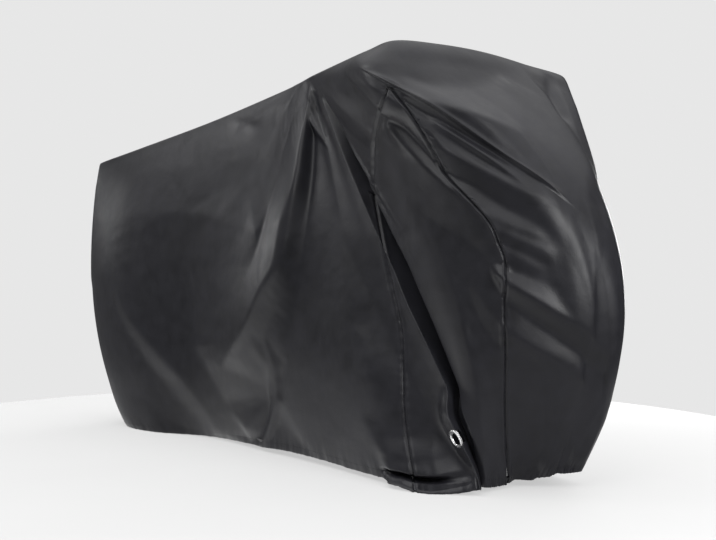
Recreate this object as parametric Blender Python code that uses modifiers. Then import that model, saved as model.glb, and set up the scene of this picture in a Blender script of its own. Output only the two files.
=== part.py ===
"""A fitted bicycle cover, draped as it hangs over a bicycle, with the bicycle left out.

Three sewn or fitted pieces, each a closed solid:
    cover_body    one large sheet over the rack, saddle and handlebar, with its elastic hem
    side_gusset   the tapering insert sewn into a slit in the near side, below the near grip
    lock_eyelet   the metal eyelet set in the gusset, which a lock passes through

Metres, +Z up, +X towards the front wheel, -Y the near side. The origin is on the ground,
in the middle of the footprint.

The cloth is one surface, cloth_point(u, v). u counts ribs once round the cover: from the rear
centre along the near side, round the nose and back along the far side. v runs down each rib,
from the top line (0) to the hem (1). Ribs give the drape's large form, FOLDS add soft ridges
and troughs along its normal, and LAPS fold the cloth over itself.
"""

import math

import bmesh
import bpy
import numpy as np
from mathutils import Matrix, Vector
from mathutils.geometry import delaunay_2d_cdt

# ---- driving sizes, in metres
CLOTH = 0.0015         # thickness of the sheet, with its coating
GAP = 0.0006           # left between the sewn pieces, measured across the seam
WELD = 0.00009         # corners closer than this become one
CENTRE = (-0.2286, -0.0076, 0.0017)   # the footprint's middle, in the tables' own frame

EYELET_OUTER = 0.0240  # radius of the eyelet's flanges
EYELET_HOLE = 0.0155   # radius of the opening that a lock goes through
EYELET_WALL = 0.0012   # thickness of flanges and barrel
EYELET_PLAY = 0.0004   # between the metal and the cloth it grips
EYELET_SIDES = 24
EYELET_AT = (7.80, 0.895)          # u, v of its middle
EYELET_FACES = (-0.310, -0.880, -0.360)   # its outward direction
FLAT_RADIUS = 0.050    # the metal holds the cloth flat this far round its middle
FLAT_FADE = 0.040      # and the cloth regains its own form over this width
FLAT_PAST_LIP = 0.6    # past the pleat the effect is gone over this much of u

# ---- the large form: one row a rib
# top_*: where it leaves the top line. hem_*: where it ends. bow_*: how far it stands out from
# the straight line between them, at bow_at of the way down. full: under 1 is fuller towards
# both ends. flare: how far it is pushed out to -Y just under the top, by a grip.
RIB_COLUMNS = (
    "top_x", "top_y", "top_z", "hem_x", "hem_y", "hem_z", "bow_x", "bow_y", "bow_at", "full",
    "flare",
)
RIBS = (
    ("rear",         -1.225,  0.000, 0.900, -1.020,  0.005, 0.003, -0.112,  0.000, 0.56, 0.7, 0.00),
    ("rear_near",    -1.215, -0.014, 0.908, -0.950, -0.095, 0.002, -0.120, -0.010, 0.56, 0.7, 0.00),
    ("rack",         -1.000, -0.018, 0.940, -0.790, -0.112, 0.002, -0.075, -0.050, 0.50, 0.8, 0.00),
    ("hollow",       -0.620, -0.018, 1.000, -0.560, -0.065, 0.006, -0.010, -0.070, 0.50, 0.9, 0.00),
    ("gather",       -0.300, -0.022, 1.060, -0.300, -0.120, 0.012,  0.000, -0.070, 0.50, 0.9, 0.00),
    ("saddle_rear",  -0.215, -0.028, 1.077, -0.130, -0.145, 0.018,  0.000, -0.070, 0.50, 0.9, 0.00),
    ("saddle",       -0.185, -0.034, 1.082,  0.100, -0.190, 0.016,  0.010, -0.055, 0.50, 0.9, 0.00),
    ("saddle_front", -0.158, -0.040, 1.087,  0.380, -0.250, 0.003,  0.030, -0.030, 0.60, 0.9, 0.00),
    ("pleat",        -0.128, -0.050, 1.090,  0.545, -0.195, 0.018,  0.085, -0.050, 0.58, 0.9, 0.01),
    ("gusset",        0.040, -0.110, 1.100,  0.556, -0.130, 0.010,  0.160, -0.100, 0.50, 0.9, 0.05),
    ("grip",          0.200, -0.185, 1.100,  0.570, -0.060, 0.012,  0.220, -0.070, 0.48, 0.9, 0.11),
    ("crest",         0.345, -0.250, 1.096,  0.610, -0.035, 0.020,  0.260,  0.060, 0.50, 1.0, 0.05),
    ("nose_near",     0.392, -0.140, 1.098,  0.650, -0.010, 0.034,  0.245,  0.040, 0.48, 1.0, 0.00),
    ("nose",          0.427,  0.000, 1.094,  0.690,  0.020, 0.040,  0.230,  0.020, 0.50, 1.0, 0.00),
    ("nose_far",      0.456,  0.150, 1.079,  0.682,  0.060, 0.040,  0.200, -0.010, 0.49, 0.9, 0.00),
    ("far_grip",      0.478,  0.300, 1.057,  0.600,  0.120, 0.030,  0.108, -0.030, 0.50, 0.7, 0.00),
    ("far_gusset",    0.180,  0.240, 1.080,  0.400,  0.150, 0.006,  0.060,  0.060, 0.50, 0.9, 0.00),
    ("far_saddle",   -0.150,  0.046, 1.090,  0.050,  0.150, 0.004,  0.000,  0.070, 0.50, 0.9, 0.00),
    ("far_gather",   -0.320,  0.022, 1.056, -0.350,  0.130, 0.004,  0.000,  0.070, 0.50, 0.9, 0.00),
    ("far_rack",     -0.900,  0.018, 0.956, -0.700,  0.100, 0.003, -0.060,  0.060, 0.50, 0.8, 0.00),
    ("rear_far",     -1.215,  0.014, 0.908, -1.000,  0.085, 0.003, -0.110,  0.040, 0.56, 0.7, 0.00),
)
RIB_VALUES = np.array([row[1:] for row in RIBS])
RIB_COUNT = len(RIBS)
FLARE_AT = 0.10        # the share of the way down at which a grip pushes furthest out

# ---- the folds: each runs through three (u, v) places, start, middle and end
# height: outward, or inward where negative. width_0, width_1: half width at start and end.
FOLDS = (
    # name             u_0    v_0    u_1    v_1    u_2    v_2   height width_0 width_1
    ("ridge",          5.60, 0.030,  5.05, 0.360,  3.53, 0.720,  0.024, 0.014, 0.040),
    ("ridge_trough",   6.30, 0.100,  5.75, 0.420,  4.30, 0.900, -0.018, 0.022, 0.045),
    ("saddle_valley",  5.37, 0.056,  3.92, 0.162,  3.42, 0.255, -0.008, 0.014, 0.022),
    ("hollow",         2.60, 0.370,  2.95, 0.480,  3.15, 0.760, -0.028, 0.085, 0.050),
    ("hollow_brow",    2.25, 0.240,  2.67, 0.250,  3.38, 0.325,  0.010, 0.022, 0.025),
    ("rear_band",      1.95, 0.150,  2.40, 0.520,  3.16, 0.940,  0.014, 0.045, 0.045),
    ("band_crease",    2.06, 0.550,  2.61, 0.800,  3.26, 0.985, -0.009, 0.012, 0.012),
    ("hem_gather",     5.20, 0.750,  4.55, 0.880,  3.95, 1.000, -0.022, 0.022, 0.022),
    ("mid_hollow",     6.23, 0.450,  6.02, 0.680,  5.76, 0.920, -0.007, 0.030, 0.035),
    ("mid_swell",      6.71, 0.450,  6.50, 0.680,  6.27, 0.900,  0.007, 0.030, 0.030),
    ("pleat_valley",   7.45, 0.560,  7.48, 0.800,  7.93, 0.990, -0.014, 0.026, 0.020),
    ("pleat_rim",      8.22, 0.120,  8.34, 0.500,  8.46, 0.970,  0.008, 0.010, 0.014),
    ("saddle_streak",  8.33, 0.045,  8.64, 0.128,  8.87, 0.220, -0.006, 0.012, 0.018),
    ("grip_trough",    9.48, 0.070,  9.83, 0.170,  9.96, 0.330, -0.024, 0.020, 0.024),
    ("grip_dark",     10.02, 0.176, 10.34, 0.262, 10.63, 0.340, -0.010, 0.014, 0.014),
    ("grip_ridge",    10.28, 0.162, 10.59, 0.252, 10.85, 0.324,  0.007, 0.012, 0.014),
    ("knee",           9.99, 0.330, 10.06, 0.390, 10.15, 0.444,  0.012, 0.015, 0.018),
    ("front_valley",   9.40, 0.530,  9.46, 0.630,  9.82, 0.700, -0.022, 0.026, 0.024),
    ("front_ridge_1", 10.20, 0.426, 10.55, 0.456, 10.90, 0.484,  0.009, 0.014, 0.018),
    ("front_dark_1",  10.13, 0.460, 10.45, 0.490, 10.75, 0.514, -0.010, 0.014, 0.018),
    ("front_ridge_2", 10.07, 0.534, 10.60, 0.630, 12.16, 0.746,  0.018, 0.018, 0.024),
    ("front_dark_2",  10.07, 0.588, 10.85, 0.705, 12.84, 0.794, -0.022, 0.022, 0.030),
    ("front_ridge_3",  9.86, 0.664, 10.60, 0.722, 12.19, 0.826,  0.014, 0.016, 0.024),
    ("bar_dip",       10.60, 0.092, 11.30, 0.110, 12.94, 0.054, -0.012, 0.030, 0.030),
    ("far_corner",    14.40, 0.010, 14.20, 0.080, 14.05, 0.170, -0.012, 0.016, 0.018),
    ("hem_pucker_1",   9.90, 0.930,  9.86, 0.960,  9.80, 1.000, -0.012, 0.014, 0.016),
    ("hem_pucker_2",  11.00, 0.930, 11.05, 0.960, 11.12, 1.000, -0.012, 0.014, 0.016),
    ("hem_pucker_3",  12.30, 0.930, 12.40, 0.960, 12.54, 1.000, -0.012, 0.014, 0.016),
    ("far_ridge",     17.40, 0.040, 17.70, 0.400, 18.30, 0.820,  0.024, 0.016, 0.045),
    ("far_trough",    17.10, 0.080, 17.20, 0.400, 17.60, 0.940, -0.018, 0.022, 0.045),
    ("far_pleat",     16.90, 0.050, 16.40, 0.450, 15.90, 0.960, -0.026, 0.014, 0.032),
    ("far_lip",       16.95, 0.050, 16.55, 0.450, 16.10, 0.960,  0.016, 0.014, 0.026),
    ("far_hollow",    19.10, 0.300, 18.90, 0.520, 18.70, 0.760, -0.026, 0.080, 0.060),
    ("far_band",      19.80, 0.160, 19.40, 0.520, 18.95, 0.930,  0.014, 0.045, 0.045),
    ("far_knee",      15.50, 0.300, 15.20, 0.480, 14.70, 0.620,  0.012, 0.018, 0.026),
    ("far_dip",       15.70, 0.360, 15.40, 0.580, 14.80, 0.760, -0.014, 0.020, 0.030),
)
TOP_HOLD = 0.05        # the top line is held, so folds and laps begin below this v
FOLD_SAMPLES = 32      # places along a fold's path
FOLD_REACH = 2.6       # half widths past which a fold is not felt
FADE_IN = 0.12         # a fold grows over this share of its path
FADE_OUT = 0.25        # and dies away over this one

# ---- the laps: lines along which the cloth folds over itself
# side: +1 where the lip is on the rear side of the line and hangs over towards the front.
# stand_0, stand_1: how far the lip stands out, at v 0 and v 1. over: how far it hangs over.
# dip: how far the cloth behind it is drawn in. tuck: how far that cloth goes back under the
# lip. rise, fall: half widths of the lip and of the dip.
LAPS = (
    # name     side  stand_0 stand_1  over    dip   tuck   rise   fall  v_from  v_full  v_to
    ("pleat",  1.0,  0.010,  0.030, 0.030, 0.016, -0.016, 0.045, 0.020, 0.040, 0.280, 1.000),
    ("crest", -1.0,  0.010,  0.010, 0.002, 0.010, 0.004, 0.035, 0.030, 0.060, 0.110, 0.400),
)
LAP_TURN = 0.008       # width of cloth that makes the turn under the lip
PLEAT_U = 8.0          # the pleat runs down this rib
CREST_LINE = (         # the crest runs from the near grip to the nose
    # v      u
    (0.060,  9.92),
    (0.150, 10.53),
    (0.240, 10.86),
    (0.300, 11.18),
    (0.390, 12.02),
)
CREST_CUBIC = np.polyfit([row[0] for row in CREST_LINE], [row[1] for row in CREST_LINE], 3)

# ---- the hem's kicked-out lip, between the saddle and the pleat
LIP_FROM, LIP_TO = 6.66, 7.92      # in u
LIP_ROWS = (
    # v      outward
    (0.880,  0.000),
    (0.935,  0.012),
    (0.955,  0.012),
    (0.970, -0.034),
    (0.985,  0.012),
    (1.000,  0.042),
)

# ---- the gusset's two seams, seen square to the gusset: left and right at each height,
# measured along the line that runs level across the gusset
GUSSET_TURN = math.radians(42)     # the gusset faces this far round from -Y towards +X
SEAMS = (
    # z        left    right
    (0.970,  0.0740,  0.0760),
    (0.942,  0.0605,  0.0980),
    (0.921,  0.0516,  0.1137),
    (0.885,  0.0429,  0.1373),
    (0.840,  0.0387,  0.1640),
    (0.754,  0.0395,  0.2087),
    (0.700,  0.0478,  0.2589),
    (0.644,  0.0572,  0.3069),
    (0.557,  0.0723,  0.3429),
    (0.488,  0.0866,  0.3413),
    (0.400,  0.1066,  0.3404),
    (0.346,  0.1115,  0.3461),
    (0.213,  0.1116,  0.3486),
    (0.117,  0.1193,  0.3545),
    (0.020,  0.1350,  0.3647),
    (-0.060, 0.1420,  0.3720),
)
CUT_DEPTH = (-0.80, -0.20)         # from in front of the near side to inside the cover

# ---- the mesh: columns between two lines round the cover, and rows down the ribs
REAR_LANES = (
    # from_u  to_u  columns
    (0.00,    2.00, 6),
    (2.00,    4.00, 9),
    (4.00,    6.00, 9),
    (6.00,    7.60, 7),
)
PLEAT_STEPS = (                    # columns beside the pleat, in u from it
    # lower  at_top
    (-0.40,  -0.40),
    (-0.27,  -0.30),
    (-0.12,  -0.20),
    (0.00,    0.00),
    (0.04,    0.08),
    (0.09,    0.16),
    (0.20,    0.25),
    (0.34,    0.36),
)
PLEAT_SPREAD = 0.12                # v above which these columns spread out
PLEAT_TO_CREST = 7                 # columns between the two laps
CREST_STEPS = (-0.16, -0.06, -0.03, 0.00, 0.12)        # columns beside the crest
CREST_TO_NOSE = 6
FAR_LANES = (
    # from_u  to_u  columns
    (13.00,  15.00, 6),
    (15.00,  17.00, 8),
    (17.00,  19.00, 7),
    (19.00,  21.00, 5),
)
TOP_ROWS, MIDDLE_ROWS = 4, 10
TOP_SHARE, HEM_SHARE = 0.10, 0.83
HEM_ROWS = (0.860, 0.885, 0.910, 0.935, 0.955, 0.970, 0.985, 1.000)


def smoothstep(x):
    """0 to 1, smoothly, as x goes from 0 to 1."""
    x = np.clip(x, 0.0, 1.0)
    return x * x * (3 - 2 * x)


def unit(vectors):
    return vectors / np.maximum(np.linalg.norm(vectors, axis=-1, keepdims=True), 1e-12)


def rib_values(u):
    """The table's columns at u, by a Catmull-Rom curve through the ribs."""
    whole = np.floor(u).astype(int)
    t = (u - whole)[..., None]
    a, b, c, d = (RIB_VALUES[(whole + k) % RIB_COUNT] for k in (-1, 0, 1, 2))
    curve = 2 * b + (c - a) * t + (2 * a - 5 * b + 4 * c - d) * t**2 + (3 * b - a - 3 * c + d) * t**3
    values = curve / 2
    return {name: values[..., k] for k, name in enumerate(RIB_COLUMNS)}


def form_point(u, v):
    """A point of the large form, without folds."""
    rib = rib_values(u)
    bow = np.sin(np.pi * v ** (np.log(0.5) / np.log(rib["bow_at"]))) ** rib["full"]
    flare = v / FLARE_AT * np.exp(1 - v / FLARE_AT)
    x = rib["top_x"] * (1 - v) + rib["hem_x"] * v + rib["bow_x"] * bow
    y = rib["top_y"] * (1 - v) + rib["hem_y"] * v + rib["bow_y"] * bow - rib["flare"] * flare
    z = rib["top_z"] * (1 - v) + rib["hem_z"] * v
    return np.stack([x, y, z], axis=-1)


def form_frame(u, v, step=0.004):
    """Points of the large form, with their outward normals and their directions round it."""
    v_low, v_high = np.clip(v - step, 0, 1), np.clip(v + step, 0, 1)
    around = unit(form_point(u + step, v) - form_point(u - step, v))
    down = form_point(u, v_high) - form_point(u, v_low)
    return form_point(u, v), unit(np.cross(down, around)), around


def fold_height(points, fold):
    """How far one fold moves each point along its normal."""
    name, u_0, v_0, u_1, v_1, u_2, v_2, height, width_0, width_1 = fold
    t = np.linspace(0, 1, FOLD_SAMPLES)
    first, middle, last = 2 * (t - 0.5) * (t - 1), 4 * t * (1 - t), 2 * t * (t - 0.5)
    path = form_point(u_0 * first + u_1 * middle + u_2 * last, v_0 * first + v_1 * middle + v_2 * last)
    reach = FOLD_REACH * max(width_0, width_1)
    near = np.all((points > path.min(axis=0) - reach) & (points < path.max(axis=0) + reach), axis=-1)
    offsets = np.linalg.norm(points[near][:, None, :] - path[None, :, :], axis=-1)
    nearest = np.argmin(offsets, axis=1)
    along = t[nearest]
    width = width_0 + (width_1 - width_0) * along
    strength = smoothstep(along / FADE_IN + 0.15) * smoothstep((1 - along) / FADE_OUT + 0.15)
    moved = np.zeros(len(points))
    moved[near] = height * strength * np.exp(-((offsets.min(axis=1) / width) ** 2))
    return moved


def crest_u(v):
    """u of the crest line at v. Above and below it the line keeps its end values."""
    low, high = CREST_LINE[0], CREST_LINE[-1]
    inside = np.polyval(CREST_CUBIC, np.clip(v, low[0], high[0]))
    return np.where(v < low[0], low[1], np.where(v > high[0], high[1], inside))


def lap_shift(u, v, lap):
    """How far one lap moves each point outward and round the cover."""
    name, side, stand_0, stand_1, over, dip, tuck, rise, fall, v_from, v_full, v_to = lap
    stand = stand_0 + (stand_1 - stand_0) * v
    line = np.full_like(v, PLEAT_U) if name == "pleat" else crest_u(v)
    span = np.linalg.norm(form_point(u, v) - form_point(line, v), axis=-1)
    across = side * np.sign(u - line) * span
    strength = smoothstep((v - v_from) / (v_full - v_from)) * (np.abs(u - line) < 2.5)
    if v_to < 1:
        strength = strength * smoothstep((v_to - v) / (v_full - v_from) / 2)
    lip = np.exp(-((np.maximum(-across, 0) / rise) ** 1.5))
    turn = np.clip(across / LAP_TURN, 0, 1)
    past = np.exp(-(np.maximum(across - LAP_TURN, 0) / fall) ** 2)
    out = np.where(across < 0, stand * lip, stand - (stand + dip) * smoothstep(turn))
    out = np.where(across > LAP_TURN, -dip * past, out)
    ahead = np.where(across < 0, over * lip, over - (over + tuck + LAP_TURN) * turn**2)
    ahead = np.where(across > LAP_TURN, -(tuck + LAP_TURN) * past, ahead)
    return out * strength, side * ahead * strength


def lip_shift(u, v):
    """How far the hem's kicked-out lip, and the tuck above it, move each point outward."""
    along = np.clip((u - LIP_FROM) / (LIP_TO - LIP_FROM), 0, 1)
    outward = np.interp(v, [row[0] for row in LIP_ROWS], [row[1] for row in LIP_ROWS])
    return outward * np.sin(np.pi * along) ** 0.8


def draped_point(u, v):
    """The draped cloth, in the tables' frame: the large form with its folds and laps."""
    point, normal, around = form_frame(u, v)
    outward = lip_shift(u, v)
    for fold in FOLDS:
        outward = outward + fold_height(point, fold)
    outward = outward * smoothstep(v / TOP_HOLD)
    sideways = np.zeros_like(outward)
    for lap in LAPS:
        out, ahead = lap_shift(u, v, lap)
        outward = outward + out
        sideways = sideways + ahead
    return point + normal * outward[:, None] + around * sideways[:, None]


def eyelet_plane():
    """The eyelet's middle, in the tables' frame, and the outward normal of the cloth there."""
    u, v = EYELET_AT
    return draped_point(np.array([u]), np.array([v]))[0], unit(np.array(EYELET_FACES))


def cloth_point(u, v):
    """The finished cloth in the part's frame, flat round the eyelet."""
    held_u = np.minimum(u, PLEAT_U)
    held = draped_point(held_u, v)
    middle, normal = eyelet_plane()
    height = (held - middle) @ normal
    distance = np.linalg.norm(held - middle - height[:, None] * normal, axis=1)
    flat = 1 - smoothstep((distance - FLAT_RADIUS) / FLAT_FADE)
    flat = flat * (np.abs(u - EYELET_AT[0]) < 2) * np.exp(-(((u - held_u) / FLAT_PAST_LIP) ** 2))
    return draped_point(u, v) - (flat * height)[:, None] * normal - np.array(CENTRE)


def lane(start, stop, columns):
    """Columns from one line to the next, the last line left out."""
    share = np.linspace(0, 1, columns + 1)[:-1]
    return start + (stop - start) * share


def columns_at(v):
    """Every column's u at one v: the columns follow the pleat and the crest."""
    spread = 1 - smoothstep(v / PLEAT_SPREAD)
    pleat = np.array([lower + (at_top - lower) * spread for lower, at_top in PLEAT_STEPS])
    pleat = PLEAT_U + pleat
    crest = crest_u(np.array(v)) + np.array(CREST_STEPS)
    parts = [lane(*row) for row in REAR_LANES]
    parts += [pleat[:-1], lane(pleat[-1], crest[0], PLEAT_TO_CREST)]
    parts += [crest[:-1], lane(crest[-1], FAR_LANES[0][0], CREST_TO_NOSE)]
    parts += [lane(*row) for row in FAR_LANES]
    return np.concatenate(parts)


def row_places():
    """v of every row, closer together under the top line and at the hem."""
    top = np.linspace(0, TOP_SHARE, TOP_ROWS + 1)[:-1]
    middle = np.linspace(TOP_SHARE, HEM_SHARE, MIDDLE_ROWS + 1)
    return np.concatenate([top, middle, HEM_ROWS])


def close_top(bm, line):
    """Triangles across the top, inside the top line as seen from above."""
    plan = [vert.co.xy for vert in line]
    edges = [(k, (k + 1) % len(line)) for k in range(len(line))]
    result = delaunay_2d_cdt(plan, edges, [], 1, 1e-6)
    triangles, source = result[2], result[3]
    for corners in triangles:
        bm.faces.new([line[source[c][0]] for c in corners])


def cloth_mesh():
    """The outer surface: a skirt of rows and columns, closed over the top."""
    rows = row_places()
    grid_u = np.array([columns_at(v) for v in rows])
    grid_v = np.repeat(rows[:, None], grid_u.shape[1], axis=1)
    points = cloth_point(grid_u.ravel(), grid_v.ravel())
    count = grid_u.shape[1]
    bm = bmesh.new()
    verts = [bm.verts.new(point) for point in points]
    for i in range(len(rows) - 1):
        for j in range(count):
            k = (j + 1) % count
            corners = (i * count + j, (i + 1) * count + j, (i + 1) * count + k, i * count + k)
            bm.faces.new([verts[c] for c in corners])
    close_top(bm, verts[:count])
    bmesh.ops.recalc_face_normals(bm, faces=bm.faces[:])
    mesh = bpy.data.meshes.new("cloth")
    bm.to_mesh(mesh)
    bm.free()
    mesh.shade_smooth()
    return mesh


def plain_material(name, colour, roughness, metallic=0.0):
    material = bpy.data.materials.new(name)
    material.use_nodes = True
    shader = material.node_tree.nodes["Principled BSDF"]
    shader.inputs["Base Color"].default_value = (*colour, 1.0)
    shader.inputs["Roughness"].default_value = roughness
    shader.inputs["Metallic"].default_value = metallic
    return material


def add_object(name, mesh, collection, material=None):
    obj = bpy.data.objects.new(name, mesh)
    collection.objects.link(obj)
    if material:
        mesh.materials.append(material)
    return obj


def thicken(obj):
    """Gives the sheet its thickness, on its inner side."""
    modifier = obj.modifiers.new("thickness", "SOLIDIFY")
    modifier.thickness = CLOTH
    modifier.offset = -1.0
    return modifier


def cut(obj, cutter, operation):
    modifier = obj.modifiers.new(cutter.name, "BOOLEAN")
    modifier.operation = operation
    modifier.object = cutter
    return modifier


def tidy(obj):
    """Joins corners that the cuts left closer than a hair to each other."""
    modifier = obj.modifiers.new("tidy", "WELD")
    modifier.merge_threshold = WELD
    return modifier


def wedge(name, margin, collection):
    """The gusset's outline as a solid that goes through the near side, for cutting."""
    left = [Vector((s_left + margin, z)) for z, s_left, _ in SEAMS]
    right = [Vector((s_right - margin, z)) for z, _, s_right in reversed(SEAMS)]
    left[0].y -= margin
    right[-1].y -= margin
    across = Vector((math.cos(GUSSET_TURN), math.sin(GUSSET_TURN), 0))
    inward = Vector((-math.sin(GUSSET_TURN), math.cos(GUSSET_TURN), 0))
    front, back = (inward * depth - Vector(CENTRE) for depth in CUT_DEPTH)
    bm = bmesh.new()
    outline = [bm.verts.new(front + across * s + Vector((0, 0, z))) for s, z in left + right]
    face = bm.faces.new(outline)
    grown = bmesh.ops.extrude_face_region(bm, geom=[face])
    moved = [item for item in grown["geom"] if isinstance(item, bmesh.types.BMVert)]
    bmesh.ops.translate(bm, verts=moved, vec=back - front)
    bmesh.ops.triangulate(bm, faces=bm.faces[:])
    bmesh.ops.recalc_face_normals(bm, faces=bm.faces[:])
    mesh = bpy.data.meshes.new(name)
    bm.to_mesh(mesh)
    bm.free()
    return hide(add_object(name, mesh, collection))


def hide(cutter):
    cutter.hide_render = True
    cutter.display_type = "WIRE"
    return cutter


def eyelet_matrix():
    """The eyelet's place: its own Z is the cloth's outward normal there."""
    middle, normal = eyelet_plane()
    turn = Vector(normal).to_track_quat("Z", "Y").to_matrix().to_4x4()
    return Matrix.Translation(Vector(middle - np.array(CENTRE))) @ turn


def hole_cutter(collection):
    """The round hole punched in the gusset for the eyelet's barrel."""
    bm = bmesh.new()
    radius = EYELET_HOLE + EYELET_WALL + EYELET_PLAY
    bmesh.ops.create_cone(
        bm, cap_ends=True, segments=EYELET_SIDES, radius1=radius, radius2=radius, depth=0.02
    )
    mesh = bpy.data.meshes.new("eyelet_hole_cutter")
    bm.to_mesh(mesh)
    bm.free()
    cutter = add_object("eyelet_hole_cutter", mesh, collection)
    cutter.matrix_world = eyelet_matrix()
    return hide(cutter)


def make_eyelet(collection, material):
    """A turned metal eyelet: two rounded flanges joined by a barrel."""
    inner, outer = EYELET_HOLE, EYELET_OUTER
    barrel = inner + EYELET_WALL
    above, below = EYELET_PLAY, -CLOTH - EYELET_PLAY
    rim = outer - EYELET_WALL / 2
    profile = (
        (inner, above),
        (inner + EYELET_WALL / 2, above + EYELET_WALL),
        (rim, above + EYELET_WALL),
        (outer, above + EYELET_WALL / 2),
        (rim, above),
        (barrel, above),
        (barrel, below),
        (rim, below),
        (outer, below - EYELET_WALL / 2),
        (rim, below - EYELET_WALL),
        (inner + EYELET_WALL / 2, below - EYELET_WALL),
        (inner, below),
    )
    bm = bmesh.new()
    points = [bm.verts.new((radius, 0, z)) for radius, z in profile]
    for k, point in enumerate(points):
        bm.edges.new((point, points[(k + 1) % len(points)]))
    mesh = bpy.data.meshes.new("lock_eyelet")
    bm.to_mesh(mesh)
    bm.free()
    obj = add_object("lock_eyelet", mesh, collection, material)
    screw = obj.modifiers.new("turn", "SCREW")
    screw.axis = "Z"
    screw.angle = 2 * math.pi
    screw.steps = screw.render_steps = EYELET_SIDES
    screw.use_merge_vertices = True
    screw.merge_threshold = 0.00005
    screw.use_normal_calculate = True
    obj.matrix_world = eyelet_matrix()
    return obj


def clear_scene():
    for obj in list(bpy.data.objects):
        bpy.data.objects.remove(obj, do_unlink=True)


def new_collection(name):
    collection = bpy.data.collections.new(name)
    bpy.context.scene.collection.children.link(collection)
    return collection


def main():
    clear_scene()
    parts = new_collection("bicycle_cover")
    cutters = new_collection("cutters")
    cloth = plain_material("coated_polyester", (0.035, 0.035, 0.040), 0.55)
    gusset_cloth = plain_material("coated_polyester_gusset", (0.033, 0.033, 0.038), 0.55)
    metal = plain_material("bright_metal", (0.80, 0.80, 0.80), 0.25, 1.0)

    slit = wedge("gusset_slit_cutter", -GAP / 2, cutters)
    insert = wedge("gusset_shape_cutter", GAP / 2, cutters)
    hole = hole_cutter(cutters)

    body = add_object("cover_body", cloth_mesh(), parts, cloth)
    thicken(body)
    cut(body, slit, "DIFFERENCE")
    tidy(body)

    gusset = add_object("side_gusset", cloth_mesh(), parts, gusset_cloth)
    thicken(gusset)
    cut(gusset, insert, "INTERSECT")
    cut(gusset, hole, "DIFFERENCE")
    tidy(gusset)

    make_eyelet(parts, metal)


main()
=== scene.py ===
"""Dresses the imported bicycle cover.

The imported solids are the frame. The cloth here, cloth_point(u, v), follows their surface, and
has finer folds, seams, stitches, an elastic hem and a coated weave. It repeats the model's own
sizes and functions, because it can't read them. Metres, +Z up, +X to the front, -Y the near side.

u counts ribs once round the cover, from the rear centre along the near side, round the nose
and back along the far side. v runs down each rib, from the top line (0) to the hem (1).
"""

import math
from functools import partial

import bmesh
import bpy
import numpy as np
from mathutils import Matrix, Vector
from mathutils.bvhtree import BVHTree
from mathutils.geometry import delaunay_2d_cdt

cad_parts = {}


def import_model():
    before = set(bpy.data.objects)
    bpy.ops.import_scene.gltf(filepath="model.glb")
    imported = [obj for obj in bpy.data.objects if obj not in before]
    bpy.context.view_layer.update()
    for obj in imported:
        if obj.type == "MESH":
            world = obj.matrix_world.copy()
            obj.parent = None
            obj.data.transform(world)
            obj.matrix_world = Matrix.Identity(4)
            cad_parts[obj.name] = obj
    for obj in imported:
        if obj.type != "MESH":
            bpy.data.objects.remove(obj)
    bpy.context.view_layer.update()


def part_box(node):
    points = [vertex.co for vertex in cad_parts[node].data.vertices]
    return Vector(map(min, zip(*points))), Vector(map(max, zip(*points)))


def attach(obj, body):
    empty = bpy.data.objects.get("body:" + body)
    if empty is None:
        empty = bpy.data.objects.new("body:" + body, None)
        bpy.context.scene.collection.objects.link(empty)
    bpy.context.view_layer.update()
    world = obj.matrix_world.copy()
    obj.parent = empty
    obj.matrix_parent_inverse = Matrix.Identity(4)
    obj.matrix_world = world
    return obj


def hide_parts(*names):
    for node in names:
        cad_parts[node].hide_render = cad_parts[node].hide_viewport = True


# ---- the camera, whose place and lens are estimates of the photograph's
CAMERA_AT = (2.3029, -2.2961, 0.5483)
CAMERA_TURN = math.radians(42)     # it looks level, this far round from +Y towards -X
CAMERA_LENS = 55.0                 # mm, on a sensor 36 mm wide
CAMERA_SHIFT = -0.0098

# ---- the model's sizes, in metres
CLOTH = 0.0015         # thickness of the sheet, with its coating
CENTRE = (-0.2286, -0.0076, 0.0017)   # the footprint's middle, in the tables' own frame

EYELET_OUTER = 0.0240  # radius of the eyelet's flanges
EYELET_HOLE = 0.0155   # radius of the opening that a lock goes through
EYELET_WALL = 0.0012   # thickness of flanges and barrel
EYELET_PLAY = 0.0004   # between the metal and the cloth it grips
EYELET_AT = (7.80, 0.895)          # u, v of its middle
EYELET_FACES = (-0.310, -0.880, -0.360)   # its outward direction
FLAT_RADIUS = 0.027    # the metal holds the cloth flat this far round its middle
FLAT_FADE = 0.034      # and the cloth regains its own form over this width
FLAT_STRETCH = 0.45    # the distance down the pleat counts this much, so its lip runs straight
FLAT_PAST_LIP = 0.6    # past the pleat the effect is gone over this much of u
FLAT_WINDOW = 2.0      # of u on both sides of it, and further off nothing is flattened
FLAT_DOWN = 0.05       # of v on both sides of it, over which the way down the pleat is measured

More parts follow.
